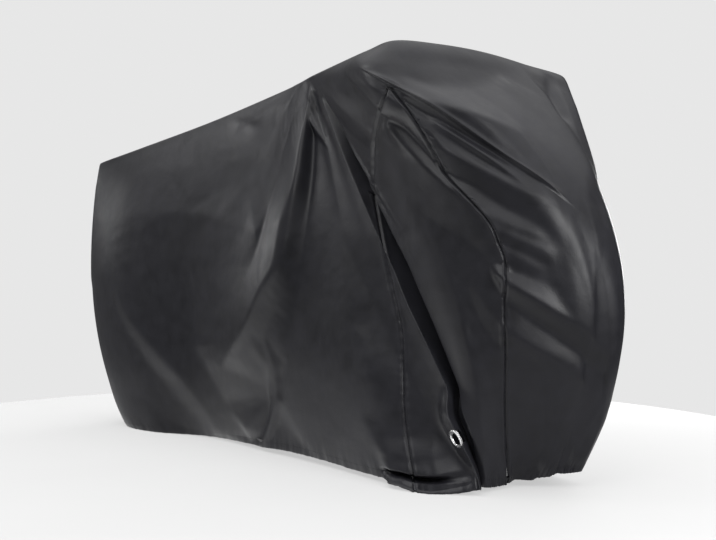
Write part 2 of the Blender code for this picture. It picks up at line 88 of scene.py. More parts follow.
# ---- the large form: one row a rib
# top_*: where it leaves the top line. hem_*: where it ends. bow_*: how far it stands out from
# the straight line between them, at bow_at of the way down. full: under 1 is fuller towards
# both ends. flare: how far it is pushed out to -Y just under the top, by a grip.
RIB_COLUMNS = (
    "top_x", "top_y", "top_z", "hem_x", "hem_y", "hem_z", "bow_x", "bow_y", "bow_at", "full",
    "flare",
)
RIBS = (
    ("rear",         -1.225,  0.000, 0.900, -1.020,  0.005, 0.003, -0.112,  0.000, 0.56, 0.7, 0.00),
    ("rear_near",    -1.215, -0.014, 0.908, -0.950, -0.095, 0.002, -0.120, -0.010, 0.56, 0.7, 0.00),
    ("rack",         -1.000, -0.018, 0.940, -0.790, -0.112, 0.002, -0.075, -0.050, 0.50, 0.8, 0.00),
    ("hollow",       -0.620, -0.018, 1.000, -0.560, -0.065, 0.006, -0.010, -0.070, 0.50, 0.9, 0.00),
    ("gather",       -0.300, -0.022, 1.060, -0.300, -0.120, 0.012,  0.000, -0.070, 0.50, 0.9, 0.00),
    ("saddle_rear",  -0.215, -0.028, 1.077, -0.130, -0.145, 0.018,  0.000, -0.070, 0.50, 0.9, 0.00),
    ("saddle",       -0.185, -0.034, 1.082,  0.100, -0.190, 0.016,  0.010, -0.055, 0.50, 0.9, 0.00),
    ("saddle_front", -0.158, -0.040, 1.087,  0.380, -0.250, 0.003,  0.030, -0.030, 0.60, 0.9, 0.00),
    ("pleat",        -0.128, -0.050, 1.090,  0.545, -0.195, 0.018,  0.085, -0.050, 0.58, 0.9, 0.01),
    ("gusset",        0.040, -0.110, 1.100,  0.556, -0.130, 0.010,  0.160, -0.100, 0.50, 0.9, 0.05),
    ("grip",          0.200, -0.185, 1.100,  0.570, -0.060, 0.012,  0.220, -0.070, 0.48, 0.9, 0.11),
    ("crest",         0.345, -0.250, 1.096,  0.610, -0.035, 0.020,  0.260,  0.060, 0.50, 1.0, 0.05),
    ("nose_near",     0.392, -0.140, 1.098,  0.650, -0.010, 0.034,  0.245,  0.040, 0.48, 1.0, 0.00),
    ("nose",          0.427,  0.000, 1.094,  0.690,  0.020, 0.040,  0.230,  0.020, 0.50, 1.0, 0.00),
    ("nose_far",      0.456,  0.150, 1.079,  0.682,  0.060, 0.040,  0.200, -0.010, 0.49, 0.9, 0.00),
    ("far_grip",      0.478,  0.300, 1.057,  0.600,  0.120, 0.030,  0.108, -0.030, 0.50, 0.7, 0.00),
    ("far_gusset",    0.180,  0.240, 1.080,  0.400,  0.150, 0.006,  0.060,  0.060, 0.50, 0.9, 0.00),
    ("far_saddle",   -0.150,  0.046, 1.090,  0.050,  0.150, 0.004,  0.000,  0.070, 0.50, 0.9, 0.00),
    ("far_gather",   -0.320,  0.022, 1.056, -0.350,  0.130, 0.004,  0.000,  0.070, 0.50, 0.9, 0.00),
    ("far_rack",     -0.900,  0.018, 0.956, -0.700,  0.100, 0.003, -0.060,  0.060, 0.50, 0.8, 0.00),
    ("rear_far",     -1.215,  0.014, 0.908, -1.000,  0.085, 0.003, -0.110,  0.040, 0.56, 0.7, 0.00),
)
RIB_VALUES = np.array([row[1:] for row in RIBS])
RIB_COUNT = len(RIBS)
PLEAT_U, NOSE_U = 8.0, 13.0        # the ribs of those names
RIB_PITCH = 0.20       # of cloth between two ribs, about
CLOTH_DROP = 1.10      # of cloth from the top line to the hem, about
FLARE_AT = 0.10        # the share of the way down at which a grip pushes furthest out

# ---- the folds: each runs through three (u, v) places, start, middle and end
# height: outward, or inward where negative. width_0, width_1: half width at start and end.
FOLDS = (
    # name             u_0    v_0    u_1    v_1    u_2    v_2   height width_0 width_1
    ("far_corner",    14.40, 0.010, 14.20, 0.080, 14.05, 0.170, -0.012, 0.016, 0.018),
    ("far_ridge",     17.40, 0.040, 17.70, 0.400, 18.30, 0.820,  0.024, 0.016, 0.045),
    ("far_trough",    17.10, 0.080, 17.20, 0.400, 17.60, 0.940, -0.018, 0.022, 0.045),
    ("far_pleat",     16.90, 0.050, 16.40, 0.450, 15.90, 0.960, -0.026, 0.014, 0.032),
    ("far_lip",       16.95, 0.050, 16.55, 0.450, 16.10, 0.960,  0.016, 0.014, 0.026),
    ("far_hollow",    19.10, 0.300, 18.90, 0.520, 18.70, 0.760, -0.026, 0.080, 0.060),
    ("far_band",      19.80, 0.160, 19.40, 0.520, 18.95, 0.930,  0.014, 0.045, 0.045),
    ("far_knee",      15.50, 0.300, 15.20, 0.480, 14.70, 0.620,  0.012, 0.018, 0.026),
    ("far_dip",       15.70, 0.360, 15.40, 0.580, 14.80, 0.760, -0.014, 0.020, 0.030),
    # two fine ones of the near side, beside the pleat's head
    ("fan_groove",     8.10, 0.050,  8.12, 0.200,  8.40, 0.420, -0.003, 0.003, 0.005),
    ("fan_rib",        8.16, 0.050,  8.20, 0.200,  8.50, 0.420,  0.003, 0.003, 0.005),
)
TOP_HOLD = 0.05        # the top line is held, so folds only reach their height at this v
FOLD_SAMPLES = 96      # places along a fold's path
FOLD_REACH = 2.6       # half widths past which a fold is not felt
FADE_IN = 0.12         # a fold grows over this share of its path
FADE_OUT = 0.25        # and dies away over this one
FADE_START = 0.15      # of those smooth steps, done already at the fold's two ends
PATH_HALF = 0.55       # each place of a path stands for this share of a step, either way

# ---- the laps: lines along which the cloth folds over itself
# side: +1 where the lip is on the rear side of the line and hangs over towards the front.
# stand_0, stand_1: how far the lip stands out, at v 0 and v 1. over_0, over_1: how far it hangs
# over, above and below the stretch OVER_CHANGES. dip: how far the cloth behind it is drawn in.
# tuck: how far that cloth goes back under the lip. rise, fall: half widths of the lip and of
# the dip. It grows from v_from to v_full, and has faded out at v_to, if that is under 1.
LAPS = (
    # name     side  stand_0 stand_1 over_0  over_1  dip    tuck   rise   fall   v_from v_full v_to
    ("pleat",  1.0,  0.008,  0.026, -0.010,  0.016, 0.040, -0.016, 0.065, 0.024, 0.040, 0.280, 1.000),
    ("crest", -1.0,  0.010,  0.009, -0.004, -0.004, 0.002, -0.014, 0.014, 0.045, 0.060, 0.110, 0.400),
)
OVER_CHANGES = (0.60, 0.80)        # v
LAP_TURN = 0.008       # width of cloth that makes the turn under the lip
LAP_SHARP = 1.5        # power of the lip's curve: under 2 makes its edge sharper
LAP_STEEP = 5.0        # and of the dip's: over 2 gives the space under a lap a flat floor
LAP_WINDOW = 2.5       # a lap acts this far on both sides of its line, in u
CREST_LINE = (         # the crest runs from the near grip to the nose
    # v      u
    (0.060,  9.92),
    (0.150, 10.53),
    (0.240, 10.86),
    (0.300, 11.18),
    (0.390, 12.02),
)
CREST_CUBIC = np.polyfit([row[0] for row in CREST_LINE], [row[1] for row in CREST_LINE], 3)

# ---- the hem's kicked-out lip, between the saddle and the pleat
LIP_FROM, LIP_TO = 6.66, 7.92      # in u
LIP_STARTS, LIP_ENDS = 0.25, 0.75  # of u, that it takes to grow and to fade
LIP_LEVEL = 7.15       # u where its rows hold as they are
LIP_LEAN = 0.010       # and how much higher they lie, in v, for each u past that
LIP_ROWS = (
    # v      outward
    (0.880,  0.000),
    (0.935,  0.010),
    (0.968,  0.014),
    (0.978, -0.024),
    (0.987,  0.012),
    (1.000,  0.030),
)
RISE_FROM = 0.90       # v below which the hem is raised
HEM_RISES = (          # how far, in metres
    # u     rise
    (6.2,  0.000),
    (6.8,  0.012),
    (7.0,  0.009),
    (7.2, -0.003),
    (7.4, -0.009),
    (7.7, -0.010),
    (7.9, -0.004),
    (8.1,  0.000),
)

# ---- the gusset's two seams, seen square to the gusset: left and right at each height,
# measured along the line that runs level across the gusset
GUSSET_TURN = math.radians(42)     # the gusset faces this far round from -Y towards +X
SEAMS = (
    # z        left    right
    (0.970,  0.0740,  0.0760),
    (0.942,  0.0605,  0.0980),
    (0.921,  0.0516,  0.1137),
    (0.885,  0.0429,  0.1373),
    (0.840,  0.0387,  0.1640),
    (0.754,  0.0395,  0.2087),
    (0.700,  0.0478,  0.2589),
    (0.644,  0.0572,  0.3069),
    (0.557,  0.0723,  0.3429),
    (0.488,  0.0866,  0.3413),
    (0.400,  0.1066,  0.3404),
    (0.346,  0.1115,  0.3461),
    (0.213,  0.1116,  0.3486),
    (0.117,  0.1193,  0.3545),
    (0.020,  0.1350,  0.3647),
    (-0.060, 0.1420,  0.3720),
)
CUT_DEPTH = (-0.80, -0.20)         # from in front of the near side to inside the cover

# ---- the creases of the near side: each runs through its places (u, v, millimetres outward),
# and the cloth is taut between them
CREASES = (
    # the rear side: a shallow hollow between the rear end, the hem and the big ridge
    ("brow", (2.2, 0.25, 6), (3.0, 0.30, 9), (3.8, 0.38, 11), (4.2, 0.40, 20)),
    ("hollow_side", (2.2, 0.25, 6), (2.5, 0.42, -6), (2.7, 0.60, -11), (3.1, 0.78, -7), (3.5, 0.91, -2)),
    ("hollow_deep", (2.6, 0.35, -9), (2.9, 0.52, -18), (3.0, 0.68, -14)),
    ("hollow_right", (3.2, 0.34, 3), (3.4, 0.46, -5), (3.5, 0.58, -3)),
    ("band_edge", (1.7, 0.30, 3), (2.0, 0.54, 5), (2.5, 0.74, 8), (3.2, 0.98, 6)),
    ("band_foot", (1.8, 0.54, -3), (2.3, 0.77, -4), (2.9, 0.98, 1)),
    ("rear_low", (2.0, 0.88, -5), (2.4, 0.96, -3)),
    ("rear_high", (1.8, 0.10, 4), (2.5, 0.12, 6), (3.1, 0.14, 6)),
    ("top_dip", (3.2, 0.01, 2), (3.5, 0.05, -4), (3.8, 0.10, 1)),
    ("saddle_fold", (6.0, 0.02, 3), (4.5, 0.04, 4), (3.5, 0.07, 4), (3.4, 0.24, 2)),
    ("saddle_side", (5.0, 0.02, 0), (4.3, 0.09, 6), (4.0, 0.17, 9), (3.8, 0.26, 10)),
    # the big ridge from the top fold down to the rear hem, steep on its rear face
    ("ridge", (7.9, 0.02, 5), (7.2, 0.06, 20), (6.3, 0.16, 31), (6.0, 0.27, 36), (5.5, 0.40, 40),
        (5.2, 0.52, 40), (4.4, 0.61, 32), (3.8, 0.71, 19), (3.4, 0.79, 1)),
    ("ridge_left", (6.2, 0.06, 9), (5.2, 0.14, 13), (5.0, 0.25, 13), (4.5, 0.38, 13), (4.1, 0.50, 12),
        (3.7, 0.60, 7), (3.4, 0.70, 2)),
    ("ridge_right", (7.0, 0.08, 14), (6.4, 0.16, 25), (6.1, 0.27, 31), (5.7, 0.40, 34), (5.4, 0.52, 34),
        (4.6, 0.61, 27), (4.0, 0.71, 14)),
    ("ridge_foot", (8.1, 0.04, 1), (6.8, 0.10, -2), (6.4, 0.20, -5), (6.0, 0.40, -7), (5.7, 0.54, -5),
        (5.3, 0.68, -3), (5.2, 0.81, -2)),
    ("ridge_apron", (5.8, 0.42, 16), (5.4, 0.55, 14), (5.0, 0.63, 11), (4.5, 0.71, 5)),
    # the pucker over the rear hem, below the ridge
    ("pucker_deep", (4.5, 0.76, 0), (4.4, 0.84, -16), (4.4, 0.90, -20), (4.2, 0.96, -12)),
    ("pucker_rib", (4.9, 0.79, -1), (4.8, 0.86, -2), (4.2, 0.99, 1)),
    ("pucker_high", (5.3, 0.73, 0), (5.0, 0.79, -8), (4.9, 0.84, -8)),
    ("pucker_low", (5.0, 0.87, -4), (4.8, 0.92, -10), (4.5, 0.97, -6)),
    ("pucker_hem", (3.8, 0.96, 0), (3.8, 0.98, -10), (3.9, 1.00, -7)),
    # between the ridge and the long pleat
    ("swell_high", (7.8, 0.10, 3), (7.2, 0.24, 5), (6.8, 0.58, 7), (6.4, 0.90, 2)),
    ("swell_low", (6.9, 0.64, 0), (6.9, 0.74, 12), (6.7, 0.82, 8), (6.4, 0.90, 2)),
    ("valley", (7.2, 0.58, -4), (7.4, 0.72, -10), (7.6, 0.87, -18), (8.0, 0.97, -12), (8.2, 1.00, -7)),
    ("fan_ridge_1", (8.2, 0.04, 0), (8.6, 0.12, 5), (9.0, 0.27, 3)),
    ("fan_trough_1", (8.5, 0.05, -1), (9.0, 0.14, -5), (9.3, 0.26, -1)),
    ("fan_ridge_2", (8.2, 0.10, 1), (8.4, 0.15, 2), (8.6, 0.20, 1)),
    ("fan_trough_2", (8.1, 0.08, -2), (8.3, 0.14, -2), (8.5, 0.20, -1)),
    # the panel between the two side seams
    ("gusset_ridge", (9.1, 0.36, 6), (9.2, 0.53, 10), (9.1, 0.69, 9), (8.9, 0.90, 5)),
    ("gusset_trough", (9.7, 0.46, -2), (9.9, 0.50, -8), (9.9, 0.55, -12)),
    ("bend_head", (9.4, 0.56, 0), (9.4, 0.62, -8), (9.6, 0.67, -9), (9.8, 0.69, -6)),
    ("bend_lip", (9.6, 0.57, -2), (9.8, 0.64, -5)),
    ("bend_under", (9.2, 0.65, 0), (9.4, 0.70, -3), (9.4, 0.85, -6), (9.4, 0.92, -3)),
    # the folds that run forward and down from the handlebar's grip
    ("grip_brow", (9.3, 0.05, 6), (9.6, 0.13, 7), (9.6, 0.24, 6), (9.9, 0.34, 5), (10.3, 0.43, 6)),
    ("grip_rim", (9.3, 0.06, -4), (9.3, 0.10, -15), (9.6, 0.19, -22), (9.9, 0.30, -14), (10.2, 0.35, -6)),
    ("grip_tube", (9.9, 0.08, 2), (10.1, 0.14, 3), (10.2, 0.23, 0)),
    ("under_crest", (10.3, 0.14, -2), (10.7, 0.23, -11), (11.0, 0.27, -10), (11.3, 0.31, -5)),
    ("second_ridge", (10.5, 0.20, 2), (10.7, 0.27, 8), (10.9, 0.32, 4)),
    ("second_trough", (10.3, 0.22, -4), (10.6, 0.28, -10), (10.8, 0.33, -3)),
    ("third_ridge", (10.2, 0.26, 3), (10.7, 0.33, 8), (10.9, 0.36, 5)),
    ("third_trough", (10.0, 0.29, -6), (10.4, 0.38, -14), (10.8, 0.43, -3)),
    ("knee_brow", (10.3, 0.41, 4), (10.7, 0.45, 2)),
    ("knee_trough", (10.3, 0.43, -2), (11.0, 0.48, -2)),
    ("knee_ridge", (10.2, 0.44, 5), (10.7, 0.48, 3)),
    ("front_dip_1", (10.2, 0.46, -5), (10.4, 0.48, -6), (10.7, 0.52, -2)),
    ("front_brow", (10.2, 0.48, 0), (10.5, 0.51, 1)),
    ("front_dip_2", (10.1, 0.51, -5), (10.3, 0.53, -5), (10.6, 0.55, -2)),
    # the two long folds across the front, and the lower front
    ("front_ridge", (10.0, 0.53, 10), (10.2, 0.56, 16), (10.5, 0.60, 17), (10.9, 0.64, 14), (12.2, 0.70, 8),
        (12.7, 0.72, 4)),
    ("front_trough", (10.0, 0.58, -6), (10.3, 0.62, -12), (10.7, 0.67, -14), (11.2, 0.71, -11),
        (12.7, 0.77, -6)),
    ("low_ridge", (9.9, 0.65, 3), (10.5, 0.71, 3), (12.1, 0.80, 1)),
    ("low_trough", (10.0, 0.69, -7), (10.3, 0.73, -12), (10.7, 0.88, -6)),
    ("front_low", (10.8, 0.81, 3), (12.3, 0.92, 1)),
    ("foot", (12.8, 0.81, 2), (13.1, 0.86, 8), (13.2, 0.91, 11), (13.1, 0.96, 9)),
    # the front end, over the handlebar and down to the front corner
    ("bar_dip", (10.6, 0.09, -12), (11.1, 0.10, -24), (12.0, 0.09, -24), (13.1, 0.06, -10)),
    ("bar_ridge", (10.4, 0.14, 8), (10.7, 0.16, 14), (11.2, 0.19, 14), (11.8, 0.22, 6)),
    ("nose_ridge", (11.8, 0.35, 1), (12.3, 0.52, 2)),
    ("nose_crease", (13.0, 0.08, 0), (12.7, 0.13, -4), (12.1, 0.20, -2)),
    ("end_ridge", (14.1, 0.26, 2), (13.1, 0.33, 7), (12.5, 0.39, 2)),
    ("end_trough", (14.2, 0.32, -4), (13.3, 0.38, -2)),
    ("corner_1", (14.1, 0.03, -2), (14.1, 0.07, -9), (14.0, 0.12, -3)),
    ("corner_2", (14.3, 0.03, 4), (14.3, 0.10, 1)),
    ("corner_3", (14.5, 0.03, -6), (14.5, 0.10, -2)),
    # the elastic's pulls on the front hem
    ("hem_1", (9.8, 0.94, 0), (9.9, 0.98, -8), (10.1, 1.00, -10)),
    ("hem_2", (10.7, 0.94, 0), (10.9, 0.98, -11), (11.1, 1.00, -10)),
    ("hem_3", (11.2, 0.96, 2), (11.8, 1.00, 4)),
    ("hem_4", (12.6, 0.97, 0), (12.5, 0.99, -10), (12.2, 1.00, -9)),
)
CREASE_HEIGHT = 0.001              # the heights' unit
CREASE_SPAN = (0.2, 15.0)          # u between which they lie
CREASE_BORDER = 12                 # places of no height along each side of that area
CREASE_CELL = (0.01, 0.002)        # of the grid that they are drawn on, in u and v
CREASE_SOFT = (0.042, 0.0075)      # how far each crease is rounded, in u and v
CREASE_STEPS = 5                   # straight pieces between two places of a crease
CREASE_MERGE = 1e-4                # places of the net nearer than this are one

# ---- the fine mesh
PLEAT_HALF, PLEAT_COLUMNS = 0.45, 26   # u on each side of the pleat, and columns there
CREST_HALF, CREST_COLUMNS = 0.24, 12   # and on each side of the crest
CROWDING = 3.0                     # the higher, the closer together these are at the line
REAR_COLUMNS = ((0.0, 3.2, 74), (3.2, 7.55, 132))            # from_u, to_u, columns
PLEAT_TO_CREST, CREST_TO_NOSE = 56, 60                       # columns between them
FAR_COLUMNS = 170                  # from the nose along the far side to the rear
BODY_ROWS = ((0.00, 0.03, 6), (0.03, 0.86, 104), (0.86, 1.00, 56))      # from_v, to_v, rows
GUSSET_ROWS = ((0.09, 0.84, 150), (0.84, 1.00, 60))
GUSSET_SPAN = (6.90, 10.60)        # u
GUSSET_COLUMNS = (26, 100)         # before and after the pleat
TOP_CELL = 0.016                   # of the sheet that closes the top
TOP_CLEAR = 0.6                    # its inner places keep this share of a cell from the line
TOP_SETTLING = 400                 # rounds of evening out its heights
TOP_MERGE = 1e-7                   # places of it nearer than this are one

# ---- seams, hem and stitches
CUT_CLEAR = 2e-5                   # places nearer than this to a cut count as on its kept side
SEAM_EASE = 0.018                  # the seams' corners are eased over this height
SEAM_LINES = (0.0014, 0.0030, 0.0052, 0.0080, 0.0120)  # the cloth is divided this far from a seam
GROOVE = (0.0034, 0.0026)          # depth of a seam's groove, and its half width
GROOVE_PAST = 0.010                # it goes on this far above the seams' top end
SEAM_RISE = (0.0010, 0.0070, 0.0035)   # the raised edge beside it: height, place, half width
PUCKER = (0.0004, 0.026, 0.014)    # height of the seam's puckers, their pitch and reach
PUCKER_DRIFT = (2.1, 23.0)         # how unevenly they are spaced, and the frequency of that
PUCKER_SHIFT = 4.0                 # and how far the right seam's are out of step with the left's
HEM_ROLL = 0.0014                  # radius of the hem's rolled edge
HEM_BAND = 0.022                   # height of the cloth turned in there, over the elastic
HEM_TURN_V = 0.002                 # of v that each row of the rolled hem takes in the cut cloth
GATHER_PITCH = 0.021               # of the elastic hem's gathers
GATHER_REACH = 0.030               # height over which they die away
GATHER_DRIFT = (1.7, 1.9)          # how unevenly they are spaced, and the frequency of that
GATHER_SWELL = (0.6, 2.7, 1.0)     # a slower wave in them: height, frequency and phase
GATHERS = (                        # their height round the hem
    # u      height
    (0.0,  0.0005),
    (6.4,  0.0008),
    (7.0,  0.0020),
    (7.9,  0.0022),
    (8.3,  0.0012),
    (9.6,  0.0008),
    (13.0, 0.0008),
    (21.0, 0.0006),
)
STITCH_LONG, STITCH_PITCH, STITCH_THICK = 0.0030, 0.0042, 0.0004
STITCH_BENDS = ((0.4, -0.3), (1.0, 0.6), (0.4, -0.3))  # thickness and rise at start, middle and end
STITCH_SECTION = ((1, 0), (0.5, 0.8), (-0.5, 0.8), (-1, 0), (0, -0.8))  # places (across, up) round it
PATH_STEP = 0.004                  # between two places of the path that stitches follow
PATH_BREAK = 4                     # the path is broken where a step is this many times longer
PATH_FEWEST = 5                    # places that a path needs to be stitched
RAY_DEPTH = -1.2                   # a seam's places are looked for from this far in front
SEAM_STITCH = 0.0045               # from a seam to the stitches beside it
STITCHED_FROM, STITCHED_TO = 0.030, SEAMS[0][0] - 0.020      # heights between which they run
HEM_STITCH = 0.019                 # from the hem's edge to its stitches

# ---- the eyelet's rolled flange
EYELET_RISE = 0.0019               # above the cloth
FLANGE_ROUND = 0.8                 # power of its section's curve: under 1 makes it fuller
FLANGE_PLACES = 13                 # along that curve
EYELET_SIDES = 96

# ---- looks
CLOTH_COLOUR = (0.018, 0.018, 0.021)
CLOTH_DARK, CLOTH_LIGHT = (0.016, 0.016, 0.019), (0.021, 0.021, 0.026)
CLOTH_ROUGH = (0.34, 0.42)         # least and most
CLOTH_SPECULAR = 0.35
WEAVE_SCALE = 110.0                # the wave texture draws 20 / tau bands a metre for each unit
THREAD_COLOUR = (0.016, 0.016, 0.018)
THREAD_DARK, THREAD_LIGHT = (0.012, 0.012, 0.013), (0.020, 0.020, 0.022)
METAL_COLOUR = (0.92, 0.92, 0.93)
METAL_DARK, METAL_LIGHT = (0.86, 0.86, 0.87), (0.95, 0.95, 0.95)
METAL_ROUGH = (0.16, 0.34)
FLOOR_COLOUR = (0.86, 0.86, 0.86)
FLOOR_DARK, FLOOR_LIGHT = (0.85, 0.85, 0.85), (0.87, 0.87, 0.87)
FLOOR_ALPHA = 0.35                 # it is partly see-through
FLOOR_RADIUS, FLOOR_SIDES = 1.6, 96
BACKDROP_COLOUR = (0.8, 0.8, 0.8)

# ---- the studio's light
SKY = (0.28, 1.00), (0.08, 1.60)   # upward part of the direction, from and to; how bright there
BELOW = (-0.18, -0.40), (0.08, 1.20)
BELOW_SIDE = (0.30, -0.90), (0.15, 1.60)   # forward part, from and to; times how bright
LIGHTS = (
    # name         power  size         place               aim
    ("overhead",     6.0, (2.4, 1.6), (0.6, -0.8, 3.0), (0.1, 0.0, 0.8)),
    ("camera_side", 18.0, (1.6, 1.2), (1.4, -2.8, 2.4), (0.2, -0.3, 0.8)),
    ("front_side",  44.0, (1.2, 1.4), (3.5, -0.3, 1.3), (0.6, 0.0, 0.7)),
    ("far_side",    80.0, (2.0, 0.8), (-0.6, 3.0, 0.7), (0.0, 0.0, 0.5)),
    ("rear_side",   24.0, (1.0, 1.0), (-2.4, -1.9, 2.8), (-0.2, 0.0, 0.7)),
)
EDGE_LIGHT = (20.0, 0.30, 26.0, 1.0)   # power, radius, cone in degrees and how soft its edge is
EDGE_PLACE, EDGE_AIM = (-2.6, -0.5, 1.1), (-0.32, -0.40, 0.58)


# ---- curves and tables
def smoothstep(x):
    """0 to 1, smoothly, as x goes from 0 to 1."""
    x = np.clip(x, 0.0, 1.0)
    return x * x * (3 - 2 * x)


def unit(vectors):
    """The same directions with length 1."""
    return vectors / np.maximum(np.linalg.norm(vectors, axis=-1, keepdims=True), 1e-12)


def smooth_curve(a, b, c, d, t):
    """A Catmull-Rom curve from b to c, which also looks to a before them and d after them."""
    curve = 2 * b + (c - a) * t + (2 * a - 5 * b + 4 * c - d) * t**2 + (3 * b - a - 3 * c + d) * t**3
    return curve / 2


def table_at(place, table):
    """The second column of a table, read between the rows at a place in the first."""
    first, second = zip(*table)
    return np.interp(place, first, second)


# ---- the large form and its folds
def rib_values(u):
    """The table's columns at u, by a smooth curve through the ribs."""
    whole = np.floor(u).astype(int)
    t = (u - whole)[..., None]
    values = smooth_curve(*(RIB_VALUES[(whole + k) % RIB_COUNT] for k in (-1, 0, 1, 2)), t)
    return {name: values[..., k] for k, name in enumerate(RIB_COLUMNS)}


def form_point(u, v):
    """A point of the large form, without folds."""
    rib = rib_values(u)
    bow = np.sin(np.pi * v ** (np.log(0.5) / np.log(rib["bow_at"]))) ** rib["full"]
    flare = v / FLARE_AT * np.exp(1 - v / FLARE_AT)
    x = rib["top_x"] * (1 - v) + rib["hem_x"] * v + rib["bow_x"] * bow
    y = rib["top_y"] * (1 - v) + rib["hem_y"] * v + rib["bow_y"] * bow - rib["flare"] * flare
    z = rib["top_z"] * (1 - v) + rib["hem_z"] * v
    return np.stack([x, y, z], axis=-1)


def form_frame(u, v, step=0.004):
    """Points of the large form, with their outward normals and their directions round it."""
    v_low, v_high = np.clip(v - step, 0, 1), np.clip(v + step, 0, 1)
    around = unit(form_point(u + step, v) - form_point(u - step, v))
    down = form_point(u, v_high) - form_point(u, v_low)
    return form_point(u, v), unit(np.cross(down, around)), around


def path_distance(points, path):
    """Each point's distance from a path, and the number of the path's nearest place."""
    offsets = points[:, None, :] - path[None, :, :]
    squares = np.einsum("ijk,ijk->ij", offsets, offsets)
    nearest = np.argmin(squares, axis=1)
    ahead = np.gradient(path, axis=0)[nearest]
    half = np.linalg.norm(ahead, axis=1) * PATH_HALF
    offset = offsets[np.arange(len(points)), nearest]
    beside = np.clip(np.sum(offset * unit(ahead), axis=1), -half, half)
    return np.sqrt(np.maximum(squares.min(axis=1) - beside**2, 0)), nearest


def fold_height(points, fold):
    """How far one fold moves each point along its normal."""
    u_0, v_0, u_1, v_1, u_2, v_2, height, width_0, width_1 = fold[1:]
    t = np.linspace(0, 1, FOLD_SAMPLES)
    first, middle, last = 2 * (t - 0.5) * (t - 1), 4 * t * (1 - t), 2 * t * (t - 0.5)
    path = form_point(u_0 * first + u_1 * middle + u_2 * last, v_0 * first + v_1 * middle + v_2 * last)
    reach = FOLD_REACH * max(width_0, width_1)
    near = np.all((points > path.min(axis=0) - reach) & (points < path.max(axis=0) + reach), axis=-1)
    away, nearest = path_distance(points[near], path)
    along = t[nearest]
    width = width_0 + (width_1 - width_0) * along
    strength = smoothstep(along / FADE_IN + FADE_START) * smoothstep((1 - along) / FADE_OUT + FADE_START)
    moved = np.zeros(len(points))
    moved[near] = height * strength * np.exp(-((away / width) ** 2))
    return moved


# ---- the creases of the near side
def crease_places(places):
    """More places along one crease, on a smooth curve through its own."""
    rows = np.array(places)
    rows = np.vstack([2 * rows[0] - rows[1], rows, 2 * rows[-1] - rows[-2]])
    t = np.linspace(0, 1, CREASE_STEPS, endpoint=False)[:, None]
    spans = [smooth_curve(*four, t) for four in zip(rows, rows[1:], rows[2:], rows[3:])]
    return np.vstack([*spans, rows[-2:-1]])


def crease_net():
    """The creased cloth of the near side as places (u, v), heights and triangles."""
    spots, heights, edges = [], [], []
    for _, *places in CREASES:
        for number, (u, v, height) in enumerate(crease_places(places)):
            if number:
                edges.append((len(spots) - 1, len(spots)))
            spots.append((u, min(max(v, 0.0), 1.0)))
            heights.append(height * CREASE_HEIGHT)
    low, high = CREASE_SPAN
    for share in np.linspace(0, 1, CREASE_BORDER):
        middle = low + (high - low) * share
        spots += [(low, share), (high, share), (middle, 0.0), (middle, 1.0)]
        heights += [0.0] * 4
    flat = [Vector((u * RIB_PITCH, v * CLOTH_DROP)) for u, v in spots]
    flat, _, triangles, source, _, _ = delaunay_2d_cdt(flat, edges, [], 0, CREASE_MERGE)
    spots = np.array(flat) / (RIB_PITCH, CLOTH_DROP)
    heights = np.array([np.mean([heights[k] for k in found]) if found else 0.0 for found in source])
    return spots, heights, np.array(triangles)


def softened(grid, axis, soft):
    """A grid blurred along one axis, by a Gaussian curve whose width is soft cells."""
    reach = int(3 * soft)
    share = np.exp(-0.5 * (np.arange(-reach, reach + 1) / soft) ** 2)
    first = np.repeat(np.take(grid, [0], axis), reach, axis)
    last = np.repeat(np.take(grid, [-1], axis), reach, axis)
    padded = np.concatenate([first, grid, last], axis=axis)
    count = grid.shape[axis]
    return sum(part * np.take(padded, range(k, k + count), axis)
               for k, part in enumerate(share / share.sum()))


def crease_map():
    """The creased cloth's height on a fine grid over (u, v): flat panels with soft creases."""
    spots, heights, triangles = crease_net()
    step_u, step_v = CREASE_CELL
    edge = 1e-6
    u = np.arange(CREASE_SPAN[0], CREASE_SPAN[1] + step_u, step_u)
    v = np.arange(0, 1 + step_v, step_v)
    grid = np.zeros((len(u), len(v)))
    for corners in triangles:
        (u_0, v_0), (u_1, v_1), (u_2, v_2) = spots[corners]
        area = (u_1 - u_0) * (v_2 - v_0) - (u_2 - u_0) * (v_1 - v_0)
        if abs(area) < 1e-9:
            continue
        i_0, i_1 = np.searchsorted(u, (min(u_0, u_1, u_2) - step_u, max(u_0, u_1, u_2) + step_u))
        j_0, j_1 = np.searchsorted(v, (min(v_0, v_1, v_2) - step_v, max(v_0, v_1, v_2) + step_v))
        off_u, off_v = u[i_0:i_1, None] - u_0, v[None, j_0:j_1] - v_0
        second = (off_u * (v_2 - v_0) - off_v * (u_2 - u_0)) / area
        third = (off_v * (u_1 - u_0) - off_u * (v_1 - v_0)) / area
        inside = (second >= -edge) & (third >= -edge) & (second + third <= 1 + edge)
        a, b, c = heights[corners]
        grid[i_0:i_1, j_0:j_1][inside] = (a + (b - a) * second + (c - a) * third)[inside]
    for axis in (0, 1):
        grid = softened(grid, axis, CREASE_SOFT[axis] / CREASE_CELL[axis])
    return grid


CREASE_MAP = crease_map()


def crease_height(u, v):
    """How far the creases of the near side move each point outward."""
    last_i, last_j = np.array(CREASE_MAP.shape) - 1.001
    i = np.clip((u - CREASE_SPAN[0]) / CREASE_CELL[0], 0, last_i)
    j = np.clip(v / CREASE_CELL[1], 0, last_j)
    left, above = np.floor(i).astype(int), np.floor(j).astype(int)
    right, below = i - left, j - above
    first = CREASE_MAP[left, above] * (1 - below) + CREASE_MAP[left, above + 1] * below
    second = CREASE_MAP[left + 1, above] * (1 - below) + CREASE_MAP[left + 1, above + 1] * below
    inside = (u > CREASE_SPAN[0]) & (u < CREASE_SPAN[1])
    return np.where(inside, first * (1 - right) + second * right, 0.0)


